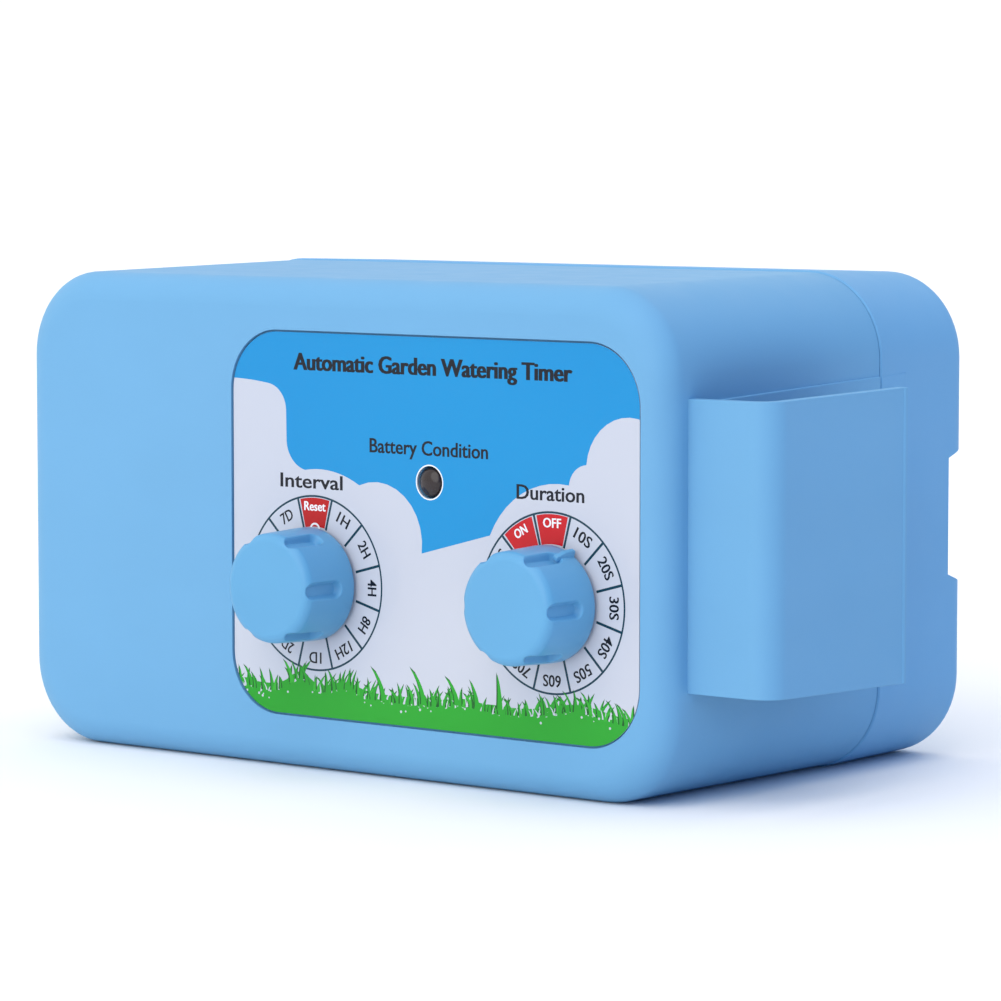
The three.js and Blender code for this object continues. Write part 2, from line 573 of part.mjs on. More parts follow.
// One sheet-metal terminal: a plate behind one or two cells, a spring cone for each minus end.
function terminal(side, cells) {
  const wallX = side > 0 ? BAY.x1 : BAY.x0;
  const near = wallX - side * GAP;
  const far = near - side * 0.5;
  const low = cellZ(cells[0]) - 5;
  const high = cellZ(cells[cells.length - 1]) + 5;
  let body = solid(block(Math.min(near, far), Math.max(near, far), CELL_Y - 6, CELL_Y + 5, low, high));
  for (const index of cells) {
    const plus = cellPlusRight(index) === (side > 0);
    const profile = plus ? [[0, -0.3], [2.2, -0.3], [1.8, 0.5], [0, 0.5]]
      : [[0, -0.3], [4.6, -0.3], [4.6, 0.5], [2.6, 5.4], [0, 5.4]];
    const contact = turned(profile, 14);
    const turnedIn = side > 0 ? alongMinusX(contact) : alongX(contact);
    body = join(body, turnedIn.translate(far, CELL_Y, cellZ(index)));
  }
  return toGeometry(body);
}

// ---------------------------------------------------------------- inner wires
function wire(points) {
  const section = new THREE.Shape();
  const radius = 0.75;
  for (let i = 0; i < 8; i += 1) {
    const angle = i / 8 * 2 * Math.PI;
    if (i === 0) section.moveTo(radius, 0);
    else section.lineTo(radius * Math.cos(angle), radius * Math.sin(angle));
  }
  section.closePath();
  const path = new THREE.CatmullRomCurve3(points.map((point) => new THREE.Vector3(...point)));
  return new THREE.ExtrudeGeometry(section, { steps: 12, extrudePath: path, bevelEnabled: false });
}

// ---------------------------------------------------------------- scene graph
const timer = new THREE.Group();

function add(parent, name, geometry, finish, place = [0, 0, 0]) {
  const mesh = new THREE.Mesh(closed(geometry), new THREE.MeshStandardMaterial(finish));
  mesh.name = name;
  mesh.position.set(...place);
  parent.add(mesh);
  return mesh;
}

function subassembly(x, y, z) {
  const group = new THREE.Group();
  group.position.set(x, y, z);
  timer.add(group);
  return group;
}

add(timer, 'front_shell', frontShell(), FINISH.caseBlue);
add(timer, 'rear_cover', rearCover(), FINISH.caseBlue);
add(timer, 'battery_door', batteryDoor(), FINISH.caseBlue);
add(timer, 'label_panel', labelPanel(), FINISH.print);

// Clockwise sectors from the top of the dial to where each knob rests.
const dials = [['interval', DIAL.intervalX, 9], ['duration', DIAL.durationX, 1]];
for (const [name, x, sectors] of dials) {
  const dial = subassembly(x, 0, DIAL.z);
  const turn = sectors / DIAL.sectors * 2 * Math.PI;
  add(dial, `${name}_knob`, knob(), FINISH.knobBlue).rotation.y = turn;
  add(dial, `${name}_switch_shaft`, switchShaft(), FINISH.steel).rotation.y = turn;
  add(dial, `${name}_switch_body`, switchBody(), FINISH.black);
  const { hole, across, washer, washerBack, back, front } = SWITCH_NUT;
  const flatRing = ring(hole, washer, washerBack, back - GAP, 16);
  add(dial, `${name}_switch_washer`, alongMinusY(flatRing), FINISH.nickel);
  add(dial, `${name}_switch_nut`, alongMinusY(hexNut(hole, across, back, front)), FINISH.nickel);
}

add(timer, 'status_led', statusLed(), FINISH.lens, [LED.x, 0, LED.z]);
add(timer, 'control_board', controlBoard(), FINISH.board);
const chipFace = BOARD.back + GAP;
add(timer, 'microcontroller', block(5, 23, chipFace, chipFace + 2.2, 27, 34.5), FINISH.black);
add(timer, 'supply_capacitor', roundY(4, 34, 56, chipFace, chipFace + 11, 20), FINISH.sleeve);
add(timer, 'wire_connector', block(-14, -2, chipFace, chipFace + 7.7, 20, 28), FINISH.pumpWhite);
BOARD_SCREWS.forEach(([x, z], i) => {
  add(timer, `board_screw_${i + 1}`, screw(2.4, 1, 10), FINISH.steel, [x, chipFace, z]);
});

const pump = subassembly(PUMP.x, PUMP.y, 0);
add(pump, 'motor_can', motorCan(), FINISH.steel);
add(pump, 'motor_end_cap', alongZ(ring(MOTOR.bearing, MOTOR.endCap, ...LEVEL.endCap)), FINISH.black);
add(pump, 'motor_rotor', motorRotor(), FINISH.steel);
add(pump, 'pump_eccentric', pumpEccentric(), FINISH.pumpWhite);
add(pump, 'pump_crankcase', pumpCrankcase(), FINISH.black);
add(pump, 'pump_diaphragm', pumpDiaphragm(), FINISH.rubber);
add(pump, 'pump_valve_plate', pumpValvePlate(), FINISH.pumpWhite);
add(pump, 'pump_head', pumpHead(), FINISH.black);
const cushion = ring(CUSHION.inner, CUSHION.outer, ...LEVEL.cushion, 28);
add(pump, 'pump_cushion', alongZ(cushion), FINISH.rubber);
add(pump, 'pump_cradle', pumpCradle(), FINISH.pumpWhite);
pumpScrewSpots.forEach(([x, y], i) => {
  const place = [x, y, LEVEL.head[1] + GAP];
  add(pump, `head_screw_${i + 1}`, screw(2.2, 0.95, 20).rotateX(Math.PI / 2), FINISH.steel, place);
});
[-1, 1].forEach((side, i) => {
  const place = [side * CRADLE.screwX, CRADLE.plate[1] + GAP, CRADLE.screwZ];
  add(pump, `cradle_screw_${i + 1}`, screw(2.6, 1.1, 13), FINISH.steel, place);
});

for (const [name, y] of [['inlet', -PORT.y], ['outlet', PORT.y]]) {
  const port = subassembly(0, y, PORT.z);
  const seal = new THREE.TorusGeometry(PORT_SEAL.radius, PORT_SEAL.thickness, 6, 18).rotateY(Math.PI / 2);
  const nut = hexNut(PORT_HOLE, PORT_NUT.across, PORT_NUT.inner, PORT_NUT.outer);
  const tube = ring(TUBE.inner, TUBE.outer, TUBE.from, TUBE.to, 16);
  add(port, `${name}_port`, portBody(), FINISH.caseBlue);
  add(port, `${name}_seal`, seal, FINISH.rubber, [PORT_SEAL.x, 0, 0]);
  add(port, `${name}_nut`, alongMinusX(nut), FINISH.pumpWhite);
  add(port, `${name}_tube`, alongMinusX(tube), FINISH.silicone);
}

for (let i = 0; i < CELL.count; i += 1) {
  add(timer, `battery_cell_${i + 1}`, cellBody(i), FINISH.cell, [0, CELL_Y, cellZ(i)]);
}
const terminals = [[1, [0, 1]], [1, [2, 3]], [-1, [0]], [-1, [1, 2]], [-1, [3]]];
terminals.forEach(([side, cells], i) => {
  add(timer, `battery_terminal_${i + 1}`, terminal(side, cells), FINISH.nickel);
});

corners.forEach(([x, z], i) => {
  add(timer, `case_screw_${i + 1}`, screw(2.7, 1.3, 16), FINISH.steel, [x, CASE_SCREW.seat + GAP, z]);
});

// Each wire starts at the battery bay or the motor and ends square on the board's plug.
const plugY = chipFace + 7.7 + GAP;
const intoPlug = (x) => [[x, plugY + 4, 24], [x, plugY, 24]];
const batteryWire = (index, ...rest) => {
  const z = cellZ(index);
  return [[-0.9, BAY_WIRE.y, z], [-3.5, BAY_WIRE.y, z], ...rest];
};
const wires = {
  battery_wire_plus: batteryWire(0, [-10, 27, 22], [-14, 10, 23], ...intoPlug(-12.5)),
  battery_wire_minus: batteryWire(3, [-10, 27, 62], [-12, 8, 44], ...intoPlug(-9.5)),
  motor_wire_plus: [[-32, 4, 7.2], [-26, 3, 5.2], [-15, -2, 10], ...intoPlug(-6.5)],
  motor_wire_minus: [[-32, -4, 7.2], [-25, -5, 4.6], [-12, -7, 9], ...intoPlug(-3.5)],
};
for (const [name, points] of Object.entries(wires)) {
  add(timer, name, wire(points), name.endsWith('plus') ? FINISH.red : FINISH.black);
}

export default timer;
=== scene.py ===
"""Looks of a battery drip irrigation timer: fine moulded shells, printed dial label, fluted knobs,
hose barbs, battery bay and studio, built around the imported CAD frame.

Lengths are millimetres in the row frame and become metres where a mesh is made."""
import json
import math
import random

import bpy
import numpy as np
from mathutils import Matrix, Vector
from mathutils.geometry import delaunay_2d_cdt


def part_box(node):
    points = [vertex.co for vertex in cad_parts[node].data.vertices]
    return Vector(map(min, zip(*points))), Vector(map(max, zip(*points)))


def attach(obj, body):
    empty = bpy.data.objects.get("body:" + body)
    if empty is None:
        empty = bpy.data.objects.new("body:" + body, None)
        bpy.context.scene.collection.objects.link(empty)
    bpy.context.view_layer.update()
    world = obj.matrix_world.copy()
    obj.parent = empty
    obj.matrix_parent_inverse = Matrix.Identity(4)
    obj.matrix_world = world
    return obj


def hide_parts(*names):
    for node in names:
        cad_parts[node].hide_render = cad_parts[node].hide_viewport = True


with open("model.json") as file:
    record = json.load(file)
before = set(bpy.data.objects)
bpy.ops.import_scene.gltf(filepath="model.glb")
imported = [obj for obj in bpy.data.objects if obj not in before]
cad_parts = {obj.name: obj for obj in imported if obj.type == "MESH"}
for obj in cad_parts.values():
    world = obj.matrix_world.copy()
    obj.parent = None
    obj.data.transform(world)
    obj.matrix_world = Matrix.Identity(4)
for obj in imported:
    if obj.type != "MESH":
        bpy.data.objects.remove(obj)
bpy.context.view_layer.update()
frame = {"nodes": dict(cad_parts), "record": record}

MM = 0.001
TAU = 2 * math.pi

# --- sizes, millimetres


def box_mm(node):
    """Low and high corner of a CAD node."""
    low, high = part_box(node)
    return low / MM, high / MM


cover_high = box_mm("rear_cover")[1]
label_low, label_high = box_mm("label_panel")
shell_low, shell_high = box_mm("front_shell")

FRONT = shell_low.y
REAR = cover_high.y
HEIGHT = cover_high.z
HALF = 75.0  # half the width of the case at the seam
CORNER = 15.1
WALL = 2.4
PANEL = 2.8  # thickness of the front panel
COVER_PANEL = 2.6
SEAM = shell_high.y + 0.15
SEAM_GAP = 0.2
DRAFT_FRONT = 0.015  # how much the sides draw in per millimetre, in front of the seam and behind it
DRAFT_REAR = 0.019
FILLET_FRONT = 5.2
FILLET_REAR = 4.2
EDGE = 0.3  # radius of small moulded edges
SEAM_STEP = 0.28  # how far the cover's rim stands proud of the shell

DIAL_Z = 33.5
DIALS = {"interval": (-2.9, 9), "duration": (50.3, 1)}  # centre X, sectors from the top to the rest
SECTORS = 12
SECTOR = TAU / SECTORS
RING = 15.4  # radius of the printed ring round each dial
LED_X, LED_Z, LED_HOLE = 23.4, 52.6, 2.85
LABEL_CORNER = 10.5
LABEL_MARGIN = 0.35
LABEL_FLOOR = label_high.y + 0.3
SWITCH_HOLE, PORT_HOLE = 4.6, 4.3  # radii
BEHIND_PANEL, BEHIND_SIDE = -40.0, 3.4 - HALF  # where the holes through the panel and the side end

HOOK_FRONT, HOOK_END, HOOK_REACH, HOOK_THICK, HOOK_BEND = -38.8, 1.0, shell_high.x, 2.3, 4.7
HOOK_Z, HOOK_HALF_ROOT, HOOK_HALF_END = 44.0, 24.6, 25.4
HOOK_ROOT = HALF - 1.6  # the hook starts inside the wall
HOOK_EDGE = 0.62
HOOK_BEAD = 0.22  # height of the bead along the free end of the hook
PAD_END, PAD_PROUD, PAD_ROUND = 24.5, 0.42, 0.34  # the pad on the side wall opposite the hook
PAD_HALF, PAD_FLARE = 23.8, 0.042  # its half height at the hook's front, and how that grows

SCREW_SPOTS = [(sx * 64.6, z) for sx in (1, -1) for z in (10.4, 77.6)]
SCREW_SEAT = 22.0
SHELL_BOSS, COVER_BOSS = 4.0, 4.2  # radii
PILOT_HOLE, HEAD_HOLE, SHANK_HOLE = 1.6, 3.0, 1.7  # radii
PILOT_END = 3.0

LIP_GAP, LIP_THICK, LIP_REACH = 0.3, 1.1, 3.0  # the cover's lip inside the shell
BAY_X0, BAY_X1, BAY_Z0, BAY_Z1, BAY_FLOOR = -0.5, 59.0, 14.3, 73.7, 26.3
BAY_WALL, BAY_LEFT_WALL, BAY_BACK, BAY_RIGHT = 2.3, 1.8, 1.5, 62.6
TROUGH_X0, TROUGH_Y0, TROUGH_FLOOR = -6.8, 38.2, 40.0  # the trough that holds the hinge
DOOR_X1, DOOR_Z0, DOOR_Z1, DOOR_CORNER, DOOR_GAP = 61.7, 13.5, 74.5, 0.9, 0.3
DOOR_IN, DOOR_OUT = 43.4, 45.2
HINGE_X, HINGE_Y = -3.0, 43.2
BARREL, HINGE_PIN = 1.98, 0.9  # radii
PIN_Z0, PIN_Z1, PIN_SLOT, PIN_PLAY = 12.9, 75.1, 1.2, 0.3
NOTCH_X0, NOTCH_FLOOR, NOTCH_Z, NOTCH_HALF, NOTCH_FLARE = 61.6, 39.0, 43.9, 10.5, 0.33
NOTCH_BLOCK = 14.0  # half height of the block that carries the notch
LATCH_X0, LATCH_X1, LATCH_FOOT, LATCH_HALF = 61.1, 62.2, 38.4, 8.0
TAB_X0, TAB_X1, TAB_IN = 62.0, 65.4, 43.5  # finger tab of the latch
PORT_Y, PORT_Z = 7.5, 62.0


# --- mesh helpers


def linked(name, data):
    """A new object that holds the data, linked to the scene."""
    obj = bpy.data.objects.new(name, data)
    bpy.context.scene.collection.objects.link(obj)
    return obj


def new_object(name, points, faces):
    """A mesh object of points in millimetres."""
    mesh = bpy.data.meshes.new(name)
    mesh.from_pydata([Vector(p) * MM for p in points], [], faces)
    mesh.validate()
    return linked(name, mesh)


def apply_modifiers(obj):
    """Turns the object's modifiers into its own mesh."""
    graph = bpy.context.evaluated_depsgraph_get()
    mesh = bpy.data.meshes.new_from_object(obj.evaluated_get(graph))
    obj.modifiers.clear()
    obj.data = mesh


def boolean(obj, tools, operation):
    """Joins or cuts with each tool in turn, and removes the tools."""
    for tool in tools:
        modifier = obj.modifiers.new("boolean", "BOOLEAN")
        modifier.operation = operation
        modifier.solver = "MANIFOLD"
        modifier.object = tool
        apply_modifiers(obj)
        bpy.data.objects.remove(tool)
    return obj


def cut(obj, *tools):
    return boolean(obj, tools, "DIFFERENCE")


def join(obj, *tools):
    return boolean(obj, tools, "UNION")


def round_edges(obj, width, segments=3, angle=38):
    """Rounds every edge that turns by more than the angle."""
    modifier = obj.modifiers.new("bevel", "BEVEL")
    modifier.width = width * MM
    modifier.segments = segments
    modifier.limit_method = "ANGLE"
    modifier.angle_limit = math.radians(angle)
    modifier.miter_outer = "MITER_ARC"
    modifier.use_clamp_overlap = True
    modifier.harden_normals = False
    apply_modifiers(obj)
    return obj


def smooth(obj, angle=40):
    """Smooth shading that keeps flats flat and edges sharper than the angle sharp."""
    for polygon in obj.data.polygons:
        polygon.use_smooth = True
    obj.data.set_sharp_from_angle(angle=math.radians(angle))
    modifier = obj.modifiers.new("normals", "WEIGHTED_NORMAL")
    modifier.mode = "FACE_AREA"
    modifier.keep_sharp = True
    apply_modifiers(obj)
    return obj


def skin(sections, name="skin"):
    """A closed solid over outlines with the same number of points; each goes anticlockwise seen from
    the side that the first outline faces."""
    count = len(sections[0])
    points = [p for section in sections for p in section]
    faces = [tuple(range(count))]
    for s in range(len(sections) - 1):
        for i in range(count):
            a, b = s * count + i, s * count + (i + 1) % count
            faces.append((a, a + count, b + count, b))
    last = (len(sections) - 1) * count
    faces.append(tuple(last + i for i in reversed(range(count))))
    return new_object(name, points, faces)


def block(x0, x1, y0, y1, z0, z1):
    return skin([[(x0, y, z0), (x1, y, z0), (x1, y, z1), (x0, y, z1)] for y in (y0, y1)])


def arc(cx, cy, radius, start, end, steps):
    """Points of an arc, angles in degrees anticlockwise from the first axis."""
    turns = [math.radians(start + (end - start) * k / steps) for k in range(steps + 1)]
    return [(cx + radius * math.cos(a), cy + radius * math.sin(a)) for a in turns]


def rounded(x0, x1, z0, z1, radius, steps=12):
    """A rectangle with round corners."""
    return (arc(x1 - radius, z0 + radius, radius, -90, 0, steps)
            + arc(x1 - radius, z1 - radius, radius, 0, 90, steps)
            + arc(x0 + radius, z1 - radius, radius, 90, 180, steps)
            + arc(x0 + radius, z0 + radius, radius, 180, 270, steps))


def along_y(outline, y0, y1):
    """An outline of (x, z) points, anticlockwise seen from the front."""
    return skin([[(x, y, z) for x, z in outline] for y in (y0, y1)])


def along_x(outline, x0, x1):
    """An outline of (y, z) points, anticlockwise seen from +X."""
    return skin([[(x, y, z) for y, z in outline] for x in (x1, x0)])


def along_z(outline, z0, z1):
    """An outline of (x, y) points, anticlockwise seen from above."""
    return skin([[(x, y, z) for x, y in outline] for z in (z1, z0)])


def disc(cx, cy, radius, steps):
    return arc(cx, cy, radius, 0, 360, steps)[:-1]


def peg_y(x, z, radius, y0, y1, steps=48):
    return along_y(disc(x, z, radius, steps), y0, y1)


def peg_x(y, z, radius, x0, x1, steps=48):
    return along_x(disc(y, z, radius, steps), x0, x1)


def peg_z(x, y, radius, z0, z1, steps=32):
    return along_z(disc(x, y, radius, steps), z0, z1)


def bands(pairs, steps):
    """Quads between pairs of rings, where each ring has as many points as there are steps."""
    return [(a * steps + i, a * steps + (i + 1) % steps, b * steps + (i + 1) % steps, b * steps + i)
            for a, b in pairs for i in range(steps)]


def ring(number, steps):
    """One ring of points as a single face."""
    return tuple(range(number * steps, (number + 1) * steps))


def turned(name, profile, steps, origin, axis):
    """A closed turned piece. The profile holds (radius, height) up the outside and down the inside;
    a profile that starts and ends on the axis is solid, any other closes on itself."""
    solid = profile[0][0] == 0 and profile[-1][0] == 0
    rings = profile[1:-1] if solid else profile
    count = len(rings)
    points = [(radius * math.cos(a), radius * math.sin(a), height)
              for radius, height in rings for a in np.linspace(0, TAU, steps, endpoint=False)]
    faces = bands([(r, (r + 1) % count) for r in range(count - 1 if solid else count)], steps)
    if solid:
        foot, top, last = len(points), len(points) + 1, (count - 1) * steps
        points += [(0, 0, profile[0][1]), (0, 0, profile[-1][1])]
        for i in range(steps):
            j = (i + 1) % steps
            faces += [(foot, j, i), (top, last + i, last + j)]
    turn = Vector((0, 0, 1)).rotation_difference(Vector(axis)).to_matrix()
    start = Vector(origin)
    return new_object(name, [start + turn @ Vector(p) for p in points], faces)


def adopt(obj, name, body, material, *nodes, slot=None):
    """Names a finished piece, gives it its material and body, and hides the CAD nodes it stands for."""
    obj.name = name
    obj.data.name = name
    if material is not None:
        obj.data.materials.clear()
        obj.data.materials.append(material)
    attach(obj, body)
    if nodes:
        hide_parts(*nodes)
    return obj


# --- materials


def shader(name):
    """A new material with its node tree and its surface shader."""
    material = bpy.data.materials.new(name)
    material.use_nodes = True
    tree = material.node_tree
    return material, tree, tree.nodes["Principled BSDF"]


def set_inputs(node, settings):
    """Sets inputs by name or number: an output of another node is linked, other values are constants."""
    for name, value in settings.items():
        if isinstance(value, bpy.types.NodeSocket):
            node.id_data.links.new(value, node.inputs[name])
        else:
            node.inputs[name].default_value = value


def add_node(tree, kind, settings):
    node = tree.nodes.new("ShaderNode" + kind)
    set_inputs(node, settings)
    return node


def noise(tree, scale, detail, stretch=(1, 1, 1)):
    """Noise around a half, fixed to the object."""
    place = add_node(tree, "TexCoord", {}).outputs["Object"]
    mapping = add_node(tree, "Mapping", {"Scale": stretch, "Vector": place}).outputs["Vector"]
    texture = add_node(tree, "TexNoise", {"Scale": scale, "Detail": detail, "Vector": mapping})
    return texture.outputs["Fac"]


def spread(tree, value, low, high, start=0.3, end=0.7):
    """Maps a value between start and end, by default a noise, onto the range from low to high."""
    settings = {"Value": value, "From Min": start, "From Max": end, "To Min": low, "To Max": high}
    return add_node(tree, "MapRange", settings).outputs["Result"]


def blend_colours(tree, factor, first, second):
    node = tree.nodes.new("ShaderNodeMix")
    node.data_type = "RGBA"
    set_inputs(node, {"Factor": factor, "A": (*first, 1), "B": (*second, 1)})
    return node.outputs["Result"]


def mottled(tree, pattern, first, second):
    """A colour that follows a noise from one tone to another."""
    return blend_colours(tree, spread(tree, pattern, 0, 1), first, second)


def bump(tree, height, strength, distance):
    settings = {"Strength": strength, "Distance": distance, "Height": height}
    return add_node(tree, "Bump", settings).outputs["Normal"]


def srgb(*channels):
    """Linear colour from screen values of 0 to 255."""
    shares = [c / 255 for c in channels]
    return tuple(c / 12.92 if c <= 0.04 else ((c + 0.055) / 1.055) ** 2.4 for c in shares)


def tinted(colour, factor):
    return tuple(min(1.0, c * factor) for c in colour)


def moulded(name, colour, rough=(0.34, 0.44), vary=0.05, grain=0.05, grain_scale=2200, coat=0.0,
            shine=0.3):
    """Moulded plastic: faint flow marks in the tint, uneven gloss and a fine spark-eroded grain."""
    material, tree, bsdf = shader(name)
    clouds = noise(tree, 28, 3, (1, 0.5, 1.6))
    set_inputs(bsdf, {
        "Base Color": mottled(tree, clouds, tinted(colour, 1 - vary), tinted(colour, 1 + vary)),
        "Roughness": spread(tree, noise(tree, 160, 3), *rough),
        "Normal": bump(tree, noise(tree, grain_scale, 2), grain, 0.0002),
        "Specular IOR Level": shine,
    })
    if coat:
        set_inputs(bsdf, {"Coat Weight": coat, "Coat Roughness": 0.12})
    return material


def metal(name, colour, rough=(0.22, 0.4)):
    """Plated or drawn metal with fine directional scratches."""
    material, tree, bsdf = shader(name)
    marks = noise(tree, 900, 3, (1, 1, 12))
    set_inputs(bsdf, {
        "Base Color": mottled(tree, noise(tree, 120, 2), tinted(colour, 0.9), colour),
        "Roughness": spread(tree, marks, *rough),
        "Normal": bump(tree, marks, 0.08, 0.0001),
        "Metallic": 1.0,
    })
    return material


def ink(name, colour, second=None):
    """Printed ink under a glossy laminate, shading softly between two tones."""
    material, tree, bsdf = shader(name)
    set_inputs(bsdf, {
        "Base Color": mottled(tree, noise(tree, 18, 1), colour, second or tinted(colour, 0.96)),
        "Roughness": spread(tree, noise(tree, 900, 2), 0.42, 0.5),
        "Normal": bump(tree, noise(tree, 55, 2), 0.04, 0.0004),
        "Specular IOR Level": 0.15, "Coat Weight": 0.35, "Coat Roughness": 0.055,
    })
    return material


CASE_BLUE = srgb(108, 165, 205)
COVER_BLUE = srgb(108, 166, 209)
KNOB_BLUE = srgb(96, 161, 203)

case_plastic = moulded("case_plastic", CASE_BLUE, rough=(0.48, 0.56), vary=0.018, shine=0.2)
cover_plastic = moulded("cover_plastic", COVER_BLUE, rough=(0.48, 0.56), vary=0.018, shine=0.2)
door_plastic = moulded("door_plastic", tinted(COVER_BLUE, 0.98), vary=0.018)
knob_plastic = moulded("knob_plastic", KNOB_BLUE, rough=(0.3, 0.38), vary=0.03, grain=0.03)
black_plastic = moulded("black_plastic", (0.012, 0.013, 0.015), rough=(0.35, 0.5), grain=0.08)
white_plastic = moulded("white_plastic", (0.72, 0.72, 0.68), vary=0.03)
lens_plastic = moulded("lens_plastic", (0.02, 0.012, 0.012), rough=(0.16, 0.22), grain=0.0, shine=0.5)
silicone = moulded("silicone", (0.7, 0.73, 0.74), rough=(0.3, 0.4))
rubber = moulded("rubber", (0.02, 0.02, 0.022), rough=(0.7, 0.85), grain=0.15, grain_scale=900)
zinc = metal("zinc_steel", (0.58, 0.59, 0.61))
nickel = metal("nickel_plate", (0.66, 0.63, 0.57), rough=(0.16, 0.3))
board_green = moulded("board_green", (0.015, 0.12, 0.045), rough=(0.3, 0.4), vary=0.12, grain=0.1)
sleeve_blue = moulded("sleeve_blue", (0.02, 0.06, 0.25), rough=(0.2, 0.3), grain=0.02)
wire_red = moulded("wire_red", (0.45, 0.02, 0.02), rough=(0.3, 0.4))
cell_dark = moulded("cell_dark", (0.035, 0.038, 0.045), rough=(0.16, 0.24), grain=0.01, coat=0.6)
cell_band = moulded("cell_band", (0.55, 0.33, 0.06), rough=(0.2, 0.3), grain=0.01, coat=0.6)

SLOT_MATERIALS = {
    "steel": zinc, "nickel": nickel, "switch": black_plastic, "board": board_green,
    "black_plastic": black_plastic, "capacitor": sleeve_blue, "white_plastic": white_plastic,
    "rubber": rubber, "silicone": silicone, "cell": cell_dark, "red_wire": wire_red,
    "case": case_plastic, "knob": knob_plastic, "lens": lens_plastic, "label": white_plastic,
}


def dress_cad_nodes():
    """Every CAD node takes the procedural material of its slot; the ones replaced below stay hidden."""
    for row in frame["record"]["subparts"]:
        node = frame["nodes"][row["node"]]
        material = SLOT_MATERIALS[row["material_slot"]]
        if node.material_slots:
            for slot in node.material_slots:
                slot.material = material
        else:
            node.data.materials.append(material)


dress_cad_nodes()

# --- case outline


def draft_at(y):
    """How far the sides have drawn in at one depth."""
    return DRAFT_FRONT * (SEAM - y) if y < SEAM else DRAFT_REAR * (y - SEAM)


def case_section(y, inset=0.0, corner_inset=None):
    """The case outline at one depth. The base is flat and the other sides have draft."""
    draft = draft_at(y)
    half = HALF - draft - inset
    low, high = inset, HEIGHT - draft - inset
    radius = CORNER - draft / 2 - (inset if corner_inset is None else corner_inset)
    return [(x, y, z) for x, z in rounded(-half, half, low, high, radius, 16)]


def fillet_sections(end, radius, steps=12):
    """Outlines from the flat end face to the end of its fillet."""
    inward = -math.copysign(1, end)
    sections = []
    for k in range(steps + 1):
        angle = k / steps * math.pi / 2
        inset = radius * (1 - math.sin(angle))
        sections.append(case_section(end + inward * radius * (1 - math.cos(angle)), inset, inset / 2))
    return sections if inward > 0 else sections[::-1]


def hollow(y0, y1, inset):
    """The space inside the case outline from one depth to another."""
    return skin([case_section(y0, inset), case_section(y1, inset)])


def slot_pad(y0, y1):
    """A thin pad on the side wall, where the core of the hook's slot meets it."""
    sections = []
    for y in (y0, y1):
        wall = HALF - draft_at(y)
        half = PAD_HALF + PAD_FLARE * (y - HOOK_FRONT)
        low, high = HOOK_Z - half, HOOK_Z + half
        face = wall + PAD_PROUD
        sections.append([(wall - 1, y, low), (face, y, low), (face, y, high), (wall - 1, y, high)])
    return round_edges(skin(sections), PAD_ROUND, 2)


# --- front shell


def hook_solid():
    """The leg and the leaf of the hook, one strip bent round the corner, with a bead on its free end."""
    reach = HOOK_REACH - HOOK_BEAD
    inner = HOOK_REACH - HOOK_THICK
    bend_x, bend_y = reach - HOOK_BEND, HOOK_FRONT + HOOK_BEND
    outline = [(HOOK_ROOT, HOOK_FRONT)]
    outline += arc(bend_x, bend_y, HOOK_BEND, -90, 0, 14)
    outline += [(reach, HOOK_END - 1.0), (HOOK_REACH, HOOK_END - 0.75)]
    outline += [(HOOK_REACH, HOOK_END), (inner, HOOK_END)]
    outline += arc(bend_x, bend_y, inner - bend_x, 0, -90, 10)
    outline += [(HOOK_ROOT, HOOK_FRONT + reach - inner)]
    widening = (HOOK_HALF_END - HOOK_HALF_ROOT) / (HOOK_END - HOOK_FRONT)
    sections = []
    for side in (1, -1):
        sections.append([(x, y, HOOK_Z + side * (HOOK_HALF_ROOT + widening * (y - HOOK_FRONT)))
                         for x, y in outline])
    return round_edges(skin(sections), HOOK_EDGE, 4, 30)


def front_shell():
    """Front panel and four walls in one, with the label's recess, the hook, screw bosses and holes."""
    end = SEAM - SEAM_GAP / 2
    inside = FRONT + PANEL
    shell = skin([*fillet_sections(FRONT, FILLET_FRONT), case_section(end)])
    cut(shell, hollow(inside, SEAM + 1, WALL))
    margin = LABEL_MARGIN
    recess = rounded(label_low.x - margin, label_high.x + margin, label_low.z - margin,
                     label_high.z + margin, LABEL_CORNER + margin, 20)
    cut(shell, along_y(recess, FRONT - 1, LABEL_FLOOR))
    round_edges(shell, EDGE)
    join(shell, slot_pad(HOOK_FRONT + 1, end), hook_solid())
    for x, z in SCREW_SPOTS:
        join(shell, peg_y(x, z, SHELL_BOSS, inside - 0.5, end - 0.2, 32))
        cut(shell, peg_y(x, z, PILOT_HOLE, PILOT_END, SEAM + 1, 24))
    for x, _ in DIALS.values():
        cut(shell, peg_y(x, DIAL_Z, SWITCH_HOLE, FRONT - 1, BEHIND_PANEL))
    cut(shell, peg_y(LED_X, LED_Z, LED_HOLE, FRONT - 1, BEHIND_PANEL))
    for y in (-PORT_Y, PORT_Y):
        cut(shell, peg_x(y, PORT_Z, PORT_HOLE, -HALF - 1, BEHIND_SIDE))
    return smooth(shell)


# --- rear cover


def notch_solid():
    """The finger notch cuts the rear right edge; its ends flare to the mouth."""
    over = REAR + 1
    mouth = NOTCH_HALF + (over - NOTCH_FLOOR) * NOTCH_FLARE
    outline = [(NOTCH_FLOOR, NOTCH_Z - NOTCH_HALF), (over, NOTCH_Z - mouth),
               (over, NOTCH_Z + mouth), (NOTCH_FLOOR, NOTCH_Z + NOTCH_HALF)]
    return along_x(outline, NOTCH_X0, HALF + 2)


def cover_lip(start):
    """A ring inside the wall that reaches into the front shell."""
    inset = WALL + LIP_GAP
    lip = hollow(start - LIP_REACH, start + 1.5, inset)
    join(lip, hollow(start + 0.8, start + 2.4, WALL - 0.6))
    return cut(lip, hollow(start - LIP_REACH - 1, start + 4, inset + LIP_THICK))


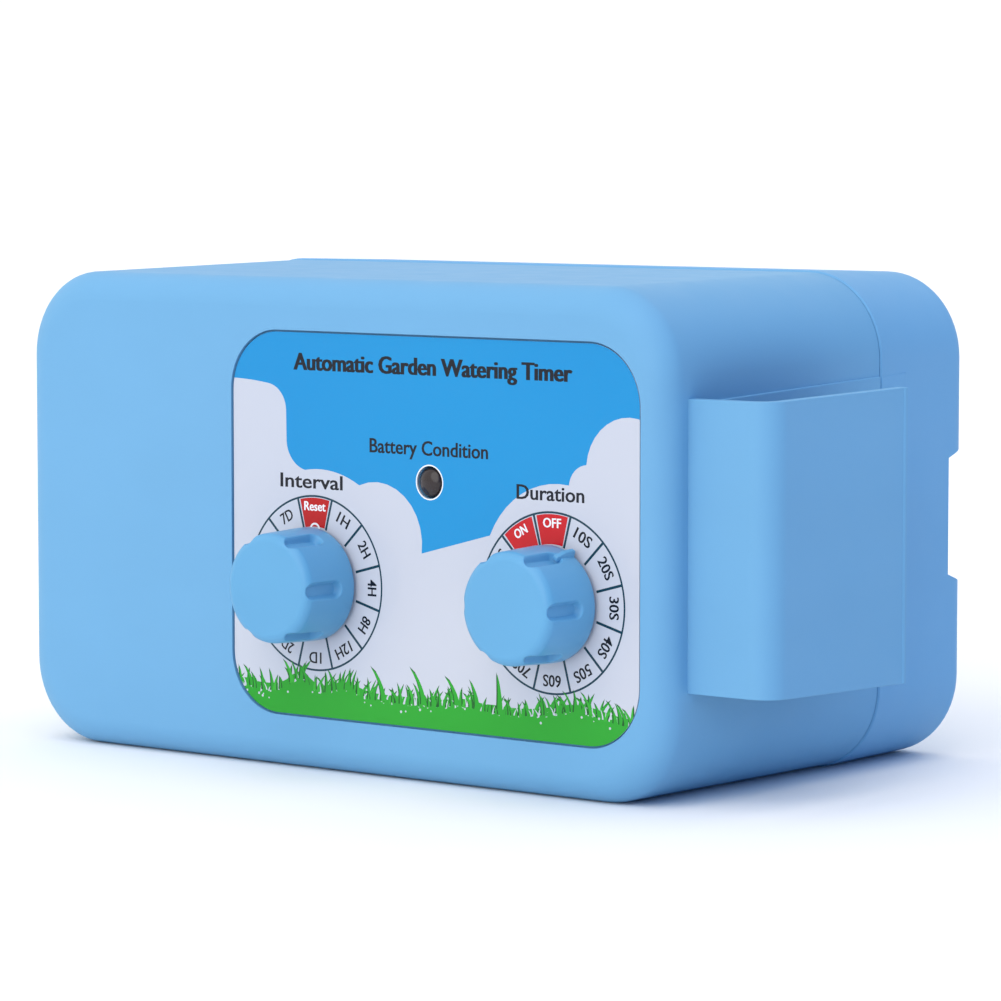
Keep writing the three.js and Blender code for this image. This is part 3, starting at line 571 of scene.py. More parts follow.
def rear_cover():
    """Rear panel and four walls in one, with the lip, the battery bay, the notch and screw bosses."""
    start = SEAM + SEAM_GAP / 2
    inside = REAR - COVER_PANEL
    proud = [(x, y, max(z, 0)) for x, y, z in case_section(start + SEAM_STEP, -SEAM_STEP)]
    cover = skin([case_section(start), proud, *fillet_sections(REAR, FILLET_REAR)])
    cut(cover, hollow(start - 1, inside, WALL))
    join(cover, cover_lip(start))
    bay_low, bay_high = BAY_Z0 - BAY_WALL, BAY_Z1 + BAY_WALL
    join(cover,
         block(BAY_X0 - BAY_LEFT_WALL, BAY_RIGHT, BAY_FLOOR - BAY_BACK, inside + 0.5, bay_low, bay_high),
         block(TROUGH_X0, BAY_X0, TROUGH_Y0, inside + 0.4, bay_low + 0.1, bay_high - 0.1),
         block(NOTCH_X0 - 1.2, HALF - 1.6, NOTCH_FLOOR - 2, inside + 0.3,
               NOTCH_Z - NOTCH_BLOCK, NOTCH_Z + NOTCH_BLOCK))
    for x, z in SCREW_SPOTS:
        join(cover, peg_y(x, z, COVER_BOSS, start + 0.2, inside + 0.5, 32))
    doorway = rounded(HINGE_X - 2.35, DOOR_X1 + DOOR_GAP, DOOR_Z0 - DOOR_GAP, DOOR_Z1 + DOOR_GAP, 1.2, 6)
    cut(cover,
        block(BAY_X0, BAY_X1, BAY_FLOOR, REAR + 1, BAY_Z0, BAY_Z1),
        block(-5, BAY_X0 + 1, TROUGH_FLOOR, REAR + 1, BAY_Z0 + 0.01, BAY_Z1 - 0.01),
        along_y(doorway, HINGE_Y, REAR + 1),
        block(HINGE_X - PIN_SLOT, HINGE_X + PIN_SLOT, HINGE_Y - 0.01, REAR + 1.1,
              PIN_Z0 - PIN_PLAY, PIN_Z1 + PIN_PLAY),
        notch_solid(),
        block(60.8, 63, NOTCH_FLOOR - 3, REAR + 1, NOTCH_Z - 8.4, NOTCH_Z + 8.4))
    for x, z in SCREW_SPOTS:
        cut(cover,
            peg_y(x, z, HEAD_HOLE, SCREW_SEAT, REAR + 1),
            peg_y(x, z, SHANK_HOLE, SEAM - 1, SCREW_SEAT + 1, 24))
    round_edges(cover, EDGE * 0.8)
    join(cover, slot_pad(start, PAD_END))
    return smooth(cover)


# --- battery door


RIB_X0, RIB_X1, RIB_IN, RIB_HALF = 4, 56, 42.6, 0.6  # stiffening ribs inside
RIB_SPOTS = (24, 44, 64)
GRIP_X0, GRIP_X1, GRIP_STEP = 47.5, 58.1, 1.75
GRIP_HALF, GRIP_REACH, GRIP_DEPTH = 0.4, 7.5, 0.5  # half width, half length and depth of a groove
ARROW_X0, ARROW_X1, ARROW_HALF, ARROW_DEPTH = 42.5, 45.4, 3.2, 0.4


def battery_door():
    """The door with its hinge barrel and pins, its latch and tab, inner ribs, grip grooves and arrow."""
    door = along_y(rounded(HINGE_X - 0.6, DOOR_X1, DOOR_Z0, DOOR_Z1, DOOR_CORNER, 6), DOOR_IN, DOOR_OUT)
    cut(door, block(HINGE_X - 3, HINGE_X, 40, 50, 0, 90))
    latch_low, latch_high = NOTCH_Z - LATCH_HALF, NOTCH_Z + LATCH_HALF
    join(door,
         peg_z(HINGE_X, HINGE_Y, BARREL, BAY_Z0 + 0.3, BAY_Z1 - 0.3, 48),
         peg_z(HINGE_X, HINGE_Y, HINGE_PIN, PIN_Z0, PIN_Z1),
         block(LATCH_X0, LATCH_X1, LATCH_FOOT, DOOR_OUT - 0.02, latch_low, latch_high),
         block(TAB_X0, TAB_X1, TAB_IN, DOOR_OUT - 0.2, latch_low - 0.01, latch_high + 0.01))
    for z in RIB_SPOTS:
        join(door, block(RIB_X0, RIB_X1, RIB_IN, DOOR_IN + 0.2, z - RIB_HALF, z + RIB_HALF))
    grip_low, grip_high = NOTCH_Z - GRIP_REACH, NOTCH_Z + GRIP_REACH
    for x in np.arange(GRIP_X0, GRIP_X1, GRIP_STEP):
        groove = rounded(x - GRIP_HALF, x + GRIP_HALF, grip_low, grip_high, 0.39, 5)
        cut(door, along_y(groove, DOOR_OUT - GRIP_DEPTH, DOOR_OUT + 1))
    arrow = [(ARROW_X0, NOTCH_Z - ARROW_HALF), (ARROW_X1, NOTCH_Z), (ARROW_X0, NOTCH_Z + ARROW_HALF)]
    cut(door, along_y(arrow, DOOR_OUT - ARROW_DEPTH, DOOR_OUT + 1))
    round_edges(door, 0.22, 2)
    return smooth(door)


# --- knobs

KNOB_BASE = -box_mm("duration_knob")[1].y  # how far the knob's foot stands in front of the X-Z plane
KNOB_HEIGHT, KNOB_RADIUS, KNOB_ROUND = 11.9, 10.0, 1.7
KNOB_SKIRT, KNOB_TAPER = 2.2, 0.042  # height of the straight foot, and how the side draws in above it
SHAFT_HOLE, SHAFT_DEPTH = 3.3, 10.1
FOOT_HOLE, FOOT_DEPTH = 7.2, 3.3
FLUTES = 6
FLUTE_HALF, FLUTE_WALL = 1.55, 0.7  # half width, and how much of it each wall takes
FLUTE_END, FLUTE_TOP = 3.2, 11.9  # heights
FLUTE_FLOOR, FLUTE_RADIUS = 8.6, 9.0  # radius of the floor, and the radius where the width is measured
POINTER_FOOT, POINTER_EDGE = 9.2, 0.4  # radius where the pointer starts, and half its width at the tip


def knob_profile():
    """Radius and height up the outside of the cap, from its foot to the edge of the flat face."""
    top = KNOB_HEIGHT - KNOB_ROUND
    side = [(KNOB_RADIUS - 0.25, 0.0), (KNOB_RADIUS - 0.07, 0.08)]
    side += [(KNOB_RADIUS, h) for h in (0.25, 1.2, KNOB_SKIRT)]
    heights = [*np.arange(2.8, 5.3, 0.1), *np.arange(5.5, 8.4, 0.6), *np.arange(8.5, top, 0.1)]
    side += [(KNOB_RADIUS - KNOB_TAPER * (h - KNOB_SKIRT), h) for h in heights]
    edge = side[-1][0] - KNOB_ROUND
    return side + [(edge + KNOB_ROUND * math.cos(a), top + KNOB_ROUND * math.sin(a))
                   for a in np.linspace(0, math.pi / 2, 15)]


def flute_share(across, height):
    """How much of the flute is cut at a point of the side: 0 outside it, 1 on its floor."""
    past_end = max(0.0, FLUTE_END + FLUTE_HALF - height, height - FLUTE_TOP + FLUTE_HALF)
    reach = math.hypot(across, past_end)
    t = min(1.0, max(0.0, (FLUTE_HALF - reach) / FLUTE_WALL))
    return t * t * (3 - 2 * t)


def knob(centre_x, turn):
    """A fluted cap with a pointer. Angles run clockwise from the pointer, seen from the front."""
    walls = np.arange(FLUTE_HALF - FLUTE_WALL - 0.06, FLUTE_HALF + 0.07, 0.062)
    half = [0.0, 0.3, 0.6, *walls, *np.arange(FLUTE_HALF + 0.35, 4.6, 0.4)]
    across = [-a for a in half[:0:-1]] + half
    spots = [(k * TAU / FLUTES + a / FLUTE_RADIUS, a) for k in range(FLUTES) for a in across]
    steps = len(spots)
    outside = knob_profile()
    inward = [(r, KNOB_HEIGHT) for r in (7.8, 6.0, 3.0, 1.0)]
    inward += [(1.0, SHAFT_DEPTH), (SHAFT_HOLE, SHAFT_DEPTH), (SHAFT_HOLE, FOOT_DEPTH)]
    inward += [(FOOT_HOLE, FOOT_DEPTH), (FOOT_HOLE, 0.0)]
    points = []
    for radius, height in outside + inward:
        for angle, a in spots:
            out = radius - max(0.0, radius - FLUTE_FLOOR) * flute_share(a, height)
            points.append((centre_x + out * math.sin(angle + turn), -KNOB_BASE - height,
                           DIAL_Z + out * math.cos(angle + turn)))
    rings = len(outside) + len(inward)
    face = len(outside) + 3  # the innermost ring of the flat face; the next one ends the shaft's hole
    faces = bands([(r, (r + 1) % rings) for r in range(rings) if r != face], steps)
    cap = new_object("knob", points, faces + [ring(face, steps), ring(face + 1, steps)[::-1]])
    return smooth(join(cap, pointer_fin(centre_x, turn)), 50)


def pointer_fin(centre_x, turn):
    """A low fin on the foot of the cap, wider and longer towards the foot."""
    sections = []
    for height, tip, half in ((4.4, 10.0, 0.6), (2.4, 10.85, 0.8), (0.05, 11.0, 1.0)):
        corners = [(-half, POINTER_FOOT), (half, POINTER_FOOT), (POINTER_EDGE, tip), (-POINTER_EDGE, tip)]
        sections.append([(centre_x + out * math.sin(turn) + across * math.cos(turn), -KNOB_BASE - height,
                          DIAL_Z + out * math.cos(turn) - across * math.sin(turn))
                         for across, out in corners])
    return round_edges(skin(sections), 0.18, 2)


# --- printed label


def bulged(points, steps=10):
    """A path of (x, z, bulge) corners: each stretch to the next corner is an arc whose bulge is the
    tangent of a quarter of its angle, positive to the left of the way it goes."""
    path = []
    for (x0, z0, bulge), (x1, z1, _) in zip(points, points[1:]):
        path.append((x0, z0))
        if not bulge:
            continue
        chord = Vector((x1 - x0, z1 - z0))
        left = Vector((-chord.y, chord.x)).normalized()
        half = chord.length / 2
        sag = bulge * half
        radius = (half * half + sag * sag) / (2 * abs(sag))
        middle = Vector(((x0 + x1) / 2, (z0 + z1) / 2))
        centre = middle + left * (sag - math.copysign(radius, sag))
        start = Vector((x0, z0)) - centre
        a0 = math.atan2(start.y, start.x)
        sweep = -4 * math.atan(bulge)
        for k in range(1, steps):
            a = a0 + sweep * k / steps
            path.append((centre.x + radius * math.cos(a), centre.y + radius * math.sin(a)))
    path.append(points[-1][:2])
    return path


PRINT_X0, PRINT_X1, PRINT_FOOT = -24, 71, 6  # the print runs past the sheet, which trims it
CLOUD_EDGE = [(PRINT_X0, 69.1, 0.04), (-13.6, 68.4, 0.36), (-9.6, 63.8, 0), (-9.5, 58.2, -0.33),
              (-5.2, 53.4, 0.17), (7.4, 51.3, 0.58), (21.6, 40.2, 0), (36.8, 44.2, 0.33),
              (53.9, 53.6, 0.36), (57.6, 57.2, 0.5), (70, 64.9, 0)]
SCALES = {
    "interval": ("Reset", "1H", "2H", "4H", "8H", "12H", "1D", "2D", "3D", "4D", "5D", "7D"),
    "duration": ("OFF", "10S", "20S", "30S", "40S", "50S", "60S", "70S", "80S", "90S", "99S", "ON"),
}
CAPTIONS = (  # words, middle, base line, width, height of the capitals, boldness
    ("Automatic Garden Watering Timer", 23.4, 71.0, 62.5, 3.0, 0.34),
    ("Battery Condition", 23.1, 57.2, 26.6, 2.5, 0.1),
    ("Interval", -3.7, 50.2, 14.6, 2.5, 0.1),
    ("Duration", 49.9, 50.8, 14.6, 2.5, 0.1),
)
ENTRY_WIDTHS = {2: 2.9, 3: 3.9, 5: 5.0}  # by the number of letters
RING_LINE, SECTOR_LINE = 0.18, 0.23  # half widths of the printed lines
BAND_INNER, BAND_MARGIN, BAND_GAP = 10.0, 0.3, 0.035  # the red bands; the gap is an angle
ENTRY_RADIUS, RED_RADIUS, ENTRY_HEIGHT, RED_HEIGHT = 13.2, 13.6, 2.0, 1.6
MARK_RADIUS, MARK_OUTER, MARK_INNER = 9.5, 1.2, 0.85  # the small ring printed under the Reset entry
DIAL_HOLE = 7.5  # radius of the sheet's hole behind each knob


def ring_band(cx, inner, outer, start, end):
    """A band of a dial's ring from one clockwise angle to another."""
    turns = np.linspace(start, end, 13)
    way = [(outer, t) for t in turns] + [(inner, t) for t in turns[::-1]]
    return [(cx + radius * math.sin(t), DIAL_Z + radius * math.cos(t)) for radius, t in way]


CAPITAL = 6.82  # height of the capitals of text of size 10
THICKEN = 0.1  # how far its outlines are moved outwards


def text_loops(text, width, height):
    """Outlines of a centred line of text of that width, with capitals of that height."""
    curve = bpy.data.curves.new("text", "FONT")
    curve.body = text
    curve.size = 10
    curve.resolution_u = 3
    curve.fill_mode = "FRONT"
    curve.offset = THICKEN
    holder = linked("text", curve)
    graph = bpy.context.evaluated_depsgraph_get()
    mesh = bpy.data.meshes.new_from_object(holder.evaluated_get(graph))
    bpy.data.objects.remove(holder)
    after = {}
    for polygon in mesh.polygons:
        corners = list(polygon.vertices)
        for a, b in zip(corners, corners[1:] + corners[:1]):
            if after.get(b, {}).pop(a, None) is None:
                after.setdefault(a, {})[b] = True
    loops = []
    while any(after.values()):
        here = next(v for v, ends in after.items() if ends)
        loop = []
        while after.get(here):
            loop.append(here)
            here = after[here].popitem()[0]
        loops.append([tuple(mesh.vertices[i].co[:2]) for i in loop])
    xs = [x for loop in loops for x, _ in loop]
    middle = (min(xs) + max(xs)) / 2
    scale_x, scale_z = width / (max(xs) - min(xs)), height / (CAPITAL + 2 * THICKEN)
    return [[((x - middle) * scale_x, (z + THICKEN) * scale_z) for x, z in loop] for loop in loops]


def placed_text(text, cx, cz, width, height, bold, turn=0.0):
    """A line of text on its base line, three times side by side to thicken it, turned clockwise."""
    letters = text_loops(text, width - bold, height)
    across, along = Vector((math.cos(turn), -math.sin(turn))), Vector((math.sin(turn), math.cos(turn)))
    foot = Vector((cx, cz))
    return [[[tuple(foot + across * (x + side) + along * z) for x, z in loop] for loop in letters]
            for side in (-bold / 2, 0.0, bold / 2)]


def turf(x):
    """Top of the solid turf along the label."""
    swells = ((-19.5, 2.0, 0.6), (-6.5, 3.2, 2.6), (4.0, 4.2, 1.5), (31.0, 4.0, 0.7), (56.0, 7.0, 1.7))
    return 15.0 + sum(rise * math.exp(-((x - centre) / wide) ** 2) for centre, wide, rise in swells)


def blade(x, foot, tall, lean, half, shift=0.0):
    """A blade that curves over to one side: up its left edge and down its right edge."""
    left, right = [], []
    for k in range(5):
        t = k / 5
        middle = x + shift + lean * t * t
        wide = half * (1 - t) ** 0.7
        left.append((middle - wide, foot + tall * t))
        right.append((middle + wide, foot + tall * t - 0.15 * lean * t))
    return left + [(x + shift + lean, foot + tall)] + right[::-1]


def grass():
    """Turf along the bottom of the print: crossing blades with dark edges, pale slits and specks."""
    rng = random.Random(11)

    def leaf(x, foot, tall, lean, half, shade="grass"):
        return [("grass_line", blade(x, foot, tall, lean, half, 0.22 if lean > 0 else -0.22)),
                (shade, blade(x, foot - 0.2, tall * 0.97, lean, half * 0.92))]

    def soil(step, drop=0.0, ripple=0.0):
        top = [(x, turf(x) - drop - ripple * math.sin(3.1 * x))
               for x in np.arange(PRINT_X1, PRINT_X0 - 0.1, -step)]
        return "grass", [(PRINT_X0, PRINT_FOOT), (PRINT_X1, PRINT_FOOT)] + top

    shapes = [soil(1.3)]
    x = -23.0
    while x < 69:
        x += rng.uniform(0.6, 1.3)
        foot = turf(x) - rng.uniform(0.8, 2.0)
        shapes.append(("cloud", blade(x, foot, rng.uniform(1.4, 2.8), rng.uniform(-1.3, 1.3), 0.2)))
    x = -23.0
    while x < 69:
        x += rng.uniform(0.8, 2.1)
        for _ in range(rng.randint(2, 3)):
            spot = x + rng.uniform(-0.6, 0.6)
            tall = rng.uniform(2.2, 4.1)
            shade = "grass" if rng.random() < 0.8 else "grass_light"
            shapes += leaf(spot, turf(spot) - 1.3, tall,
                           rng.uniform(-2.3, 2.3), rng.uniform(0.3, 0.56), shade)
            if rng.random() < 0.45:
                shapes.append(("cloud", blade(spot + 0.7, turf(spot) - 1.5, rng.uniform(1.0, 2.0),
                                              rng.uniform(-1.2, 1.2), 0.17)))
    shapes.append(soil(0.45, 1.45, 0.2))
    for _ in range(26):
        x = rng.uniform(-20, 67)
        size = rng.uniform(0.1, 0.26)
        shapes.append(("cloud", disc(x, turf(x) - rng.uniform(1.2, 2.8), size, 7)))
    for x, tall, lean in ((12.9, 5.8, -2.8), (22.0, 6.4, -3.0), (29.5, 4.8, -2.6), (34.0, 4.8, -1.6)):
        shapes += leaf(x, turf(x) - 1.0, tall, lean, 0.62)
    shapes.append(("cloud", [(36.2, 15.2), (38.2, 15.2), (38.4, 19.6), (36.2, 19.6)]))
    shapes += leaf(39.0, 14.6, 6.3, -0.6, 0.66)
    return shapes


def dial_print(dial):
    """Ink and outlines of one dial: its ring, the lines between sectors, the red bands and entries."""
    cx = DIALS[dial][0]
    centre = Vector((cx, DIAL_Z))
    yield "line", [disc(cx, DIAL_Z, RING + RING_LINE, 96), disc(cx, DIAL_Z, RING - RING_LINE, 96)[::-1]]
    for k, text in enumerate(SCALES[dial]):
        middle = k * SECTOR
        start, edge = middle - SECTOR / 2, middle + SECTOR / 2
        side = Vector((math.cos(edge), -math.sin(edge))) * SECTOR_LINE
        out = Vector((math.sin(edge), math.cos(edge)))
        yield "line", [[tuple(centre + out * reach + across * side)
                        for reach, across in ((9.8, -1), (9.8, 1), (RING, 1), (RING, -1))]]
        red = text in ("Reset", "OFF", "ON")
        if red:
            band = ring_band(cx, BAND_INNER, RING - BAND_MARGIN, start + BAND_GAP, edge - BAND_GAP)
            yield ("red" if dial == "interval" else "red_light"), [band]
        high = RED_HEIGHT if red else ENTRY_HEIGHT
        foot = (RED_RADIUS if red else ENTRY_RADIUS) - high / 2
        for loops in placed_text(text, cx + foot * math.sin(middle), DIAL_Z + foot * math.cos(middle),
                                 ENTRY_WIDTHS[len(text)], high, 0.08, middle):
            yield ("ink_white" if red else "ink_black"), loops


def artwork():
    """Ink and outlines of everything on the sheet, from the bottom layer up."""
    yield "sky", [rounded(label_low.x, label_high.x, label_low.z, label_high.z, LABEL_CORNER, 20)]
    yield "cloud", [bulged(CLOUD_EDGE) + [(PRINT_X1, 5), (PRINT_X0, 5)]]
    yield from dial_print("interval")
    marker = (DIALS["interval"][0], DIAL_Z + MARK_RADIUS)
    yield "ink_white", [disc(*marker, MARK_OUTER, 24), disc(*marker, MARK_INNER, 24)[::-1]]
    yield from dial_print("duration")
    for kind, outline in grass():
        yield kind, [outline]
    for text, cx, base, width, height, bold in CAPTIONS:
        for loops in placed_text(text, cx, base, width, height, bold):
            yield "ink_black", loops
    yield "ink_white", [disc(LED_X, LED_Z, LED_HOLE + 0.22, 48)]
    yield "hole", [disc(LED_X, LED_Z, LED_HOLE, 48)]
    for cx, _ in DIALS.values():
        yield "hole", [disc(cx, DIAL_Z, DIAL_HOLE, 48)]


def label_print():
    """One printed sheet. Its front is cut along the artwork, and each region takes its own ink."""
    layers = list(artwork())
    points, edges = [], []
    for _, outlines in layers:
        for outline in outlines:
            start, count = len(points), len(outline)
            points += [Vector(p) for p in outline]
            edges += [(start + i, start + (i + 1) % count) for i in range(count)]
    flat, _, triangles = delaunay_2d_cdt(points, edges, [], 0, 1e-4, False)[:3]
    centres = np.array([sum((flat[i] for i in t), Vector((0, 0))) / len(t) for t in triangles])
    tints = np.full(len(triangles), -1)
    inks = list(PRINT)
    for kind, outlines in layers:
        inside = sum(windings(outline, centres) for outline in outlines) != 0
        if kind != "sky":
            inside &= tints >= 0
        tints[inside] = inks.index(kind) if kind in PRINT else -1
    kept = [k for k, tint in enumerate(tints) if tint >= 0]
    return solid_sheet(flat, [list(triangles[k]) for k in kept], [int(tints[k]) for k in kept])


def windings(outline, spots):
    """How many times an outline goes round each spot."""
    turns = np.zeros(len(spots), dtype=int)
    x, z = spots[:, 0], spots[:, 1]
    for (x0, z0), (x1, z1) in zip(outline, [*outline[1:], outline[0]]):
        if z0 == z1:
            continue
        crossing = (z >= min(z0, z1)) & (z < max(z0, z1)) & (x < x0 + (z - z0) * (x1 - x0) / (z1 - z0))
        turns[crossing] += 1 if z1 > z0 else -1
    return turns


def solid_sheet(flat, kept, tints):
    """Gives the printed triangles a back and a rim, so that the sheet is one closed body."""
    front, back = label_low.y, label_high.y
    plain = list(PRINT).index("cloud")
    count = len(flat)
    points = [(p.x, front, p.y) for p in flat] + [(p.x, back, p.y) for p in flat]
    border = {}
    faces, marks = [], []
    for region, tint in zip(kept, tints):
        faces.append(tuple(region))
        marks.append(tint)
        faces.append(tuple(count + i for i in reversed(region)))
        marks.append(plain)
        for a, b in zip(region, region[1:] + region[:1]):
            if (b, a) in border:
                del border[(b, a)]
            else:
                border[(a, b)] = True
    for a, b in border:
        faces.append((b, a, count + a, count + b))
        marks.append(plain)
    sheet = new_object("label_print", points, faces)
    for print_ink in PRINT.values():
        sheet.data.materials.append(print_ink)
    for polygon, mark in zip(sheet.data.polygons, marks):
        polygon.material_index = mark
    return sheet


PRINT = {
    "sky": ink("print_sky", srgb(8, 136, 197), srgb(18, 141, 199)),
    "cloud": ink("print_cloud", srgb(190, 195, 207), srgb(195, 198, 208)),
    "line": ink("print_line", srgb(14, 58, 74)),
    "red": ink("print_red", srgb(184, 8, 12)),
    "red_light": ink("print_red_light", srgb(200, 16, 28)),
    "grass": ink("print_grass", srgb(24, 152, 30), srgb(38, 158, 40)),
    "grass_line": ink("print_grass_line", srgb(8, 84, 24)),
    "grass_light": ink("print_grass_light", srgb(50, 172, 46)),
    "ink_black": ink("print_black", (0.002, 0.004, 0.01)),
    "ink_white": ink("print_white", srgb(240, 242, 246)),
}

# --- small pieces


LENS_RADIUS, LENS_BACK, LENS_SHOULDER = 2.5, 38.0, 44.3  # distances in front of the X-Z plane
LEG_SPOTS, LEG_HALF, LEG_END = (-1.27, 1.27), 0.25, 29.95
THREAD_START, THREAD_PITCH, THREAD_TURNS = 66.8, 0.5, 16
BARBS = (78.2, 83.0, 88.0)
SCREW_HEAD, SCREW_SHANK, SCREW_TOP = 2.7, 1.3, 1.6
CROSS_HALF, CROSS_REACH, CROSS_DEPTH = 0.32, 1.5, 0.9
CELL_BAND, CELL_NUB = 14.0, 1.2  # lengths of the plain band and of the plus nub
CELL_RADIUS, CELL_PITCH, CELL_ROW_Z = 7.1, 14.9, 44
PLATE_GAP, PLATE_THICK = 0.3, 0.5
SPRING_WIRE, SPRING_TURNS, SPRING_LENGTH = 0.4, 4.5, 5.0
SPRING_RADIUS, SPRING_TAPER = 4.4, 1.9


def led_lens():
    """The smoked dome in the label's hole, on two legs to the board."""
    profile = [(0, LENS_BACK), (2.85, LENS_BACK), (2.9, LENS_BACK + 0.1), (2.9, LENS_BACK + 0.9)]
    profile += [(LENS_RADIUS, LENS_BACK + 1), (LENS_RADIUS, LENS_SHOULDER)]
    profile += [(LENS_RADIUS * math.cos(a), LENS_SHOULDER + 1.3 * math.sin(a))
                for a in np.linspace(0.15, math.pi / 2 - 0.1, 9)]
    lens = turned("led", profile + [(0, LENS_SHOULDER + 1.3)], 48, (LED_X, 0, LED_Z), (0, -1, 0))
    for side in LEG_SPOTS:
        x = LED_X + side
        join(lens, block(x - LEG_HALF, x + LEG_HALF, -LENS_BACK - 0.4, -LEG_END,
                         LED_Z - LEG_HALF, LED_Z + LEG_HALF))
    return smooth(lens)


def hose_port(y):
    """Barb, flange, threaded barrel and inner spigot turned as one piece, with its bore. Heights in the
    profile are distances from the middle of the case."""
    profile = [(1.3, 62.0), (1.9, 62.0), (2.0, 62.15), (2.0, 66.5), (3.8, 66.5)]
    for k in range(THREAD_TURNS):
        crest = THREAD_START + k * THREAD_PITCH
        profile += [(4.0, crest), (3.78, crest + THREAD_PITCH / 2)]
    profile += [(4.0, 75.2), (6.1, 75.2), (6.2, 75.3), (6.2, 76.9), (5.9, 77.2)]
    profile += [(2.6, 77.25), (2.2, 77.6)]
    for h in BARBS:
        profile += [(2.12, h - 0.05), (2.12, h), (2.88, h + 0.05), (2.9, h + 0.2), (2.14, h + 3.9)]
    profile += [(2.05, 94.4), (1.95, 94.9), (1.8, 95.0), (1.35, 95.0), (1.3, 94.9)]
    return smooth(turned("port", profile, 64, (0, y, PORT_Z), (-1, 0, 0)))


def case_screw(x, z):
    """A pan head with a cross recess at the bottom of its counterbore."""
    profile = [(0, -16.0), (0.9, -16.0), (SCREW_SHANK, -15.0), (SCREW_SHANK, 0.0)]
    profile += [(SCREW_HEAD - 0.2, 0.0), (SCREW_HEAD, 0.15), (SCREW_HEAD, 0.7)]
    profile += [(SCREW_HEAD * math.cos(a), min(SCREW_TOP, 0.7 + 1.1 * math.sin(a)))
                for a in np.linspace(0.15, math.pi / 2 - 0.12, 7)]
    seat = SCREW_SEAT + 0.3
    screw = turned("screw", profile + [(0, SCREW_TOP)], 40, (x, seat, z), (0, 1, 0))
    top = seat + SCREW_TOP
    for wide, tall, extra in ((CROSS_REACH, CROSS_HALF, 0), (CROSS_HALF, CROSS_REACH, 0.01)):
        cut(screw, block(x - wide, x + wide, top - CROSS_DEPTH - extra, top + 1, z - tall, z + tall))
    return smooth(screw)


def battery_cell(node):
    """An AA cell with a crimped sleeve, a plus nub and a plain band at the plus end."""
    low, high = box_mm(node)
    plus_right = int(node[-1]) % 2 == 1
    radius = (high.z - low.z) / 2
    length = high.x - low.x
    body = length - CELL_NUB
    band = body - CELL_BAND
    profile = [(0, 0.25), (5.4, 0.25), (5.6, 0.0), (6.5, 0.0), (6.9, 0.12), (radius, 0.5)]
    profile += [(radius, band), (radius, band + 0.02), (radius, body - 0.5), (6.9, body - 0.12)]
    profile += [(6.5, body), (5.9, body), (5.7, body - 0.25), (2.9, body - 0.2), (2.75, body)]
    profile += [(2.7, length - 0.25), (2.5, length), (0, length)]
    start = low if plus_right else high
    centre = (low + high) / 2
    cell = turned("cell", profile, 56, (start.x, centre.y, centre.z), (1 if plus_right else -1, 0, 0))
    for material in (cell_dark, cell_band, nickel):
        cell.data.materials.append(material)
    for polygon in cell.data.polygons:
        reach = abs(polygon.center.x / MM - start.x)
        away = math.hypot(polygon.center.y / MM - centre.y, polygon.center.z / MM - centre.z)
        if away < 6.2 and (reach < 1 or reach > body - 1):
            polygon.material_index = 2
        elif reach > band:
            polygon.material_index = 1
    return smooth(cell)


def terminal_springs(node, cells, side):
    """A plate behind the cells, with a coil spring for each minus end and a dimple for each plus end."""
    low, high = box_mm(node)
    wall = BAY_X1 - PLATE_GAP if side > 0 else BAY_X0 + PLATE_GAP
    inner = wall - side * PLATE_THICK
    y = BAY_FLOOR + PLATE_GAP + CELL_RADIUS
    plate = along_x(rounded(y - 6, y + 5, low.z, high.z, 1.2, 5), min(wall, inner), max(wall, inner))
    round_edges(plate, 0.12, 1)
    for index in cells:
        z = CELL_ROW_Z + (index - 1.5) * CELL_PITCH
        if (index % 2 == 0) == (side > 0):
            dimple = [(0, -0.2), (2.4, -0.2), (2.3, 0.1), (1.7, 0.5), (0.8, 0.62), (0, 0.65)]
            join(plate, turned("dimple", dimple, 32, (inner, y, z), (-side, 0, 0)))
        else:
            join(plate, coil(inner, y, z, -side))
    return smooth(plate)


def coil(x, y, z, direction):
    """A conical coil of round wire that stands on the plate."""
    steps, sides = int(SPRING_TURNS * 20), 8
    points = []
    for k in range(steps + 1):
        t = k / steps
        angle = t * SPRING_TURNS * TAU
        out = Vector((0, math.cos(angle), math.sin(angle)))
        around = Vector((0, -math.sin(angle), math.cos(angle)))
        radius = SPRING_RADIUS - SPRING_TAPER * t
        centre = Vector((x + direction * (0.1 + t * SPRING_LENGTH), y, z)) + radius * out
        rise = Vector((direction * SPRING_LENGTH / (SPRING_TURNS * TAU), 0, 0))
        ahead = (rise + radius * around).normalized()
        third = ahead.cross(out).normalized()
        out = third.cross(ahead).normalized()
        for s in range(sides):
            a = s / sides * TAU
            points.append(centre + out * SPRING_WIRE * math.cos(a) + third * SPRING_WIRE * math.sin(a))
    faces = bands([(k, k + 1) for k in range(steps)], sides)
    return new_object("coil", points, faces + [ring(0, sides)[::-1], ring(steps, sides)])


# --- assembly

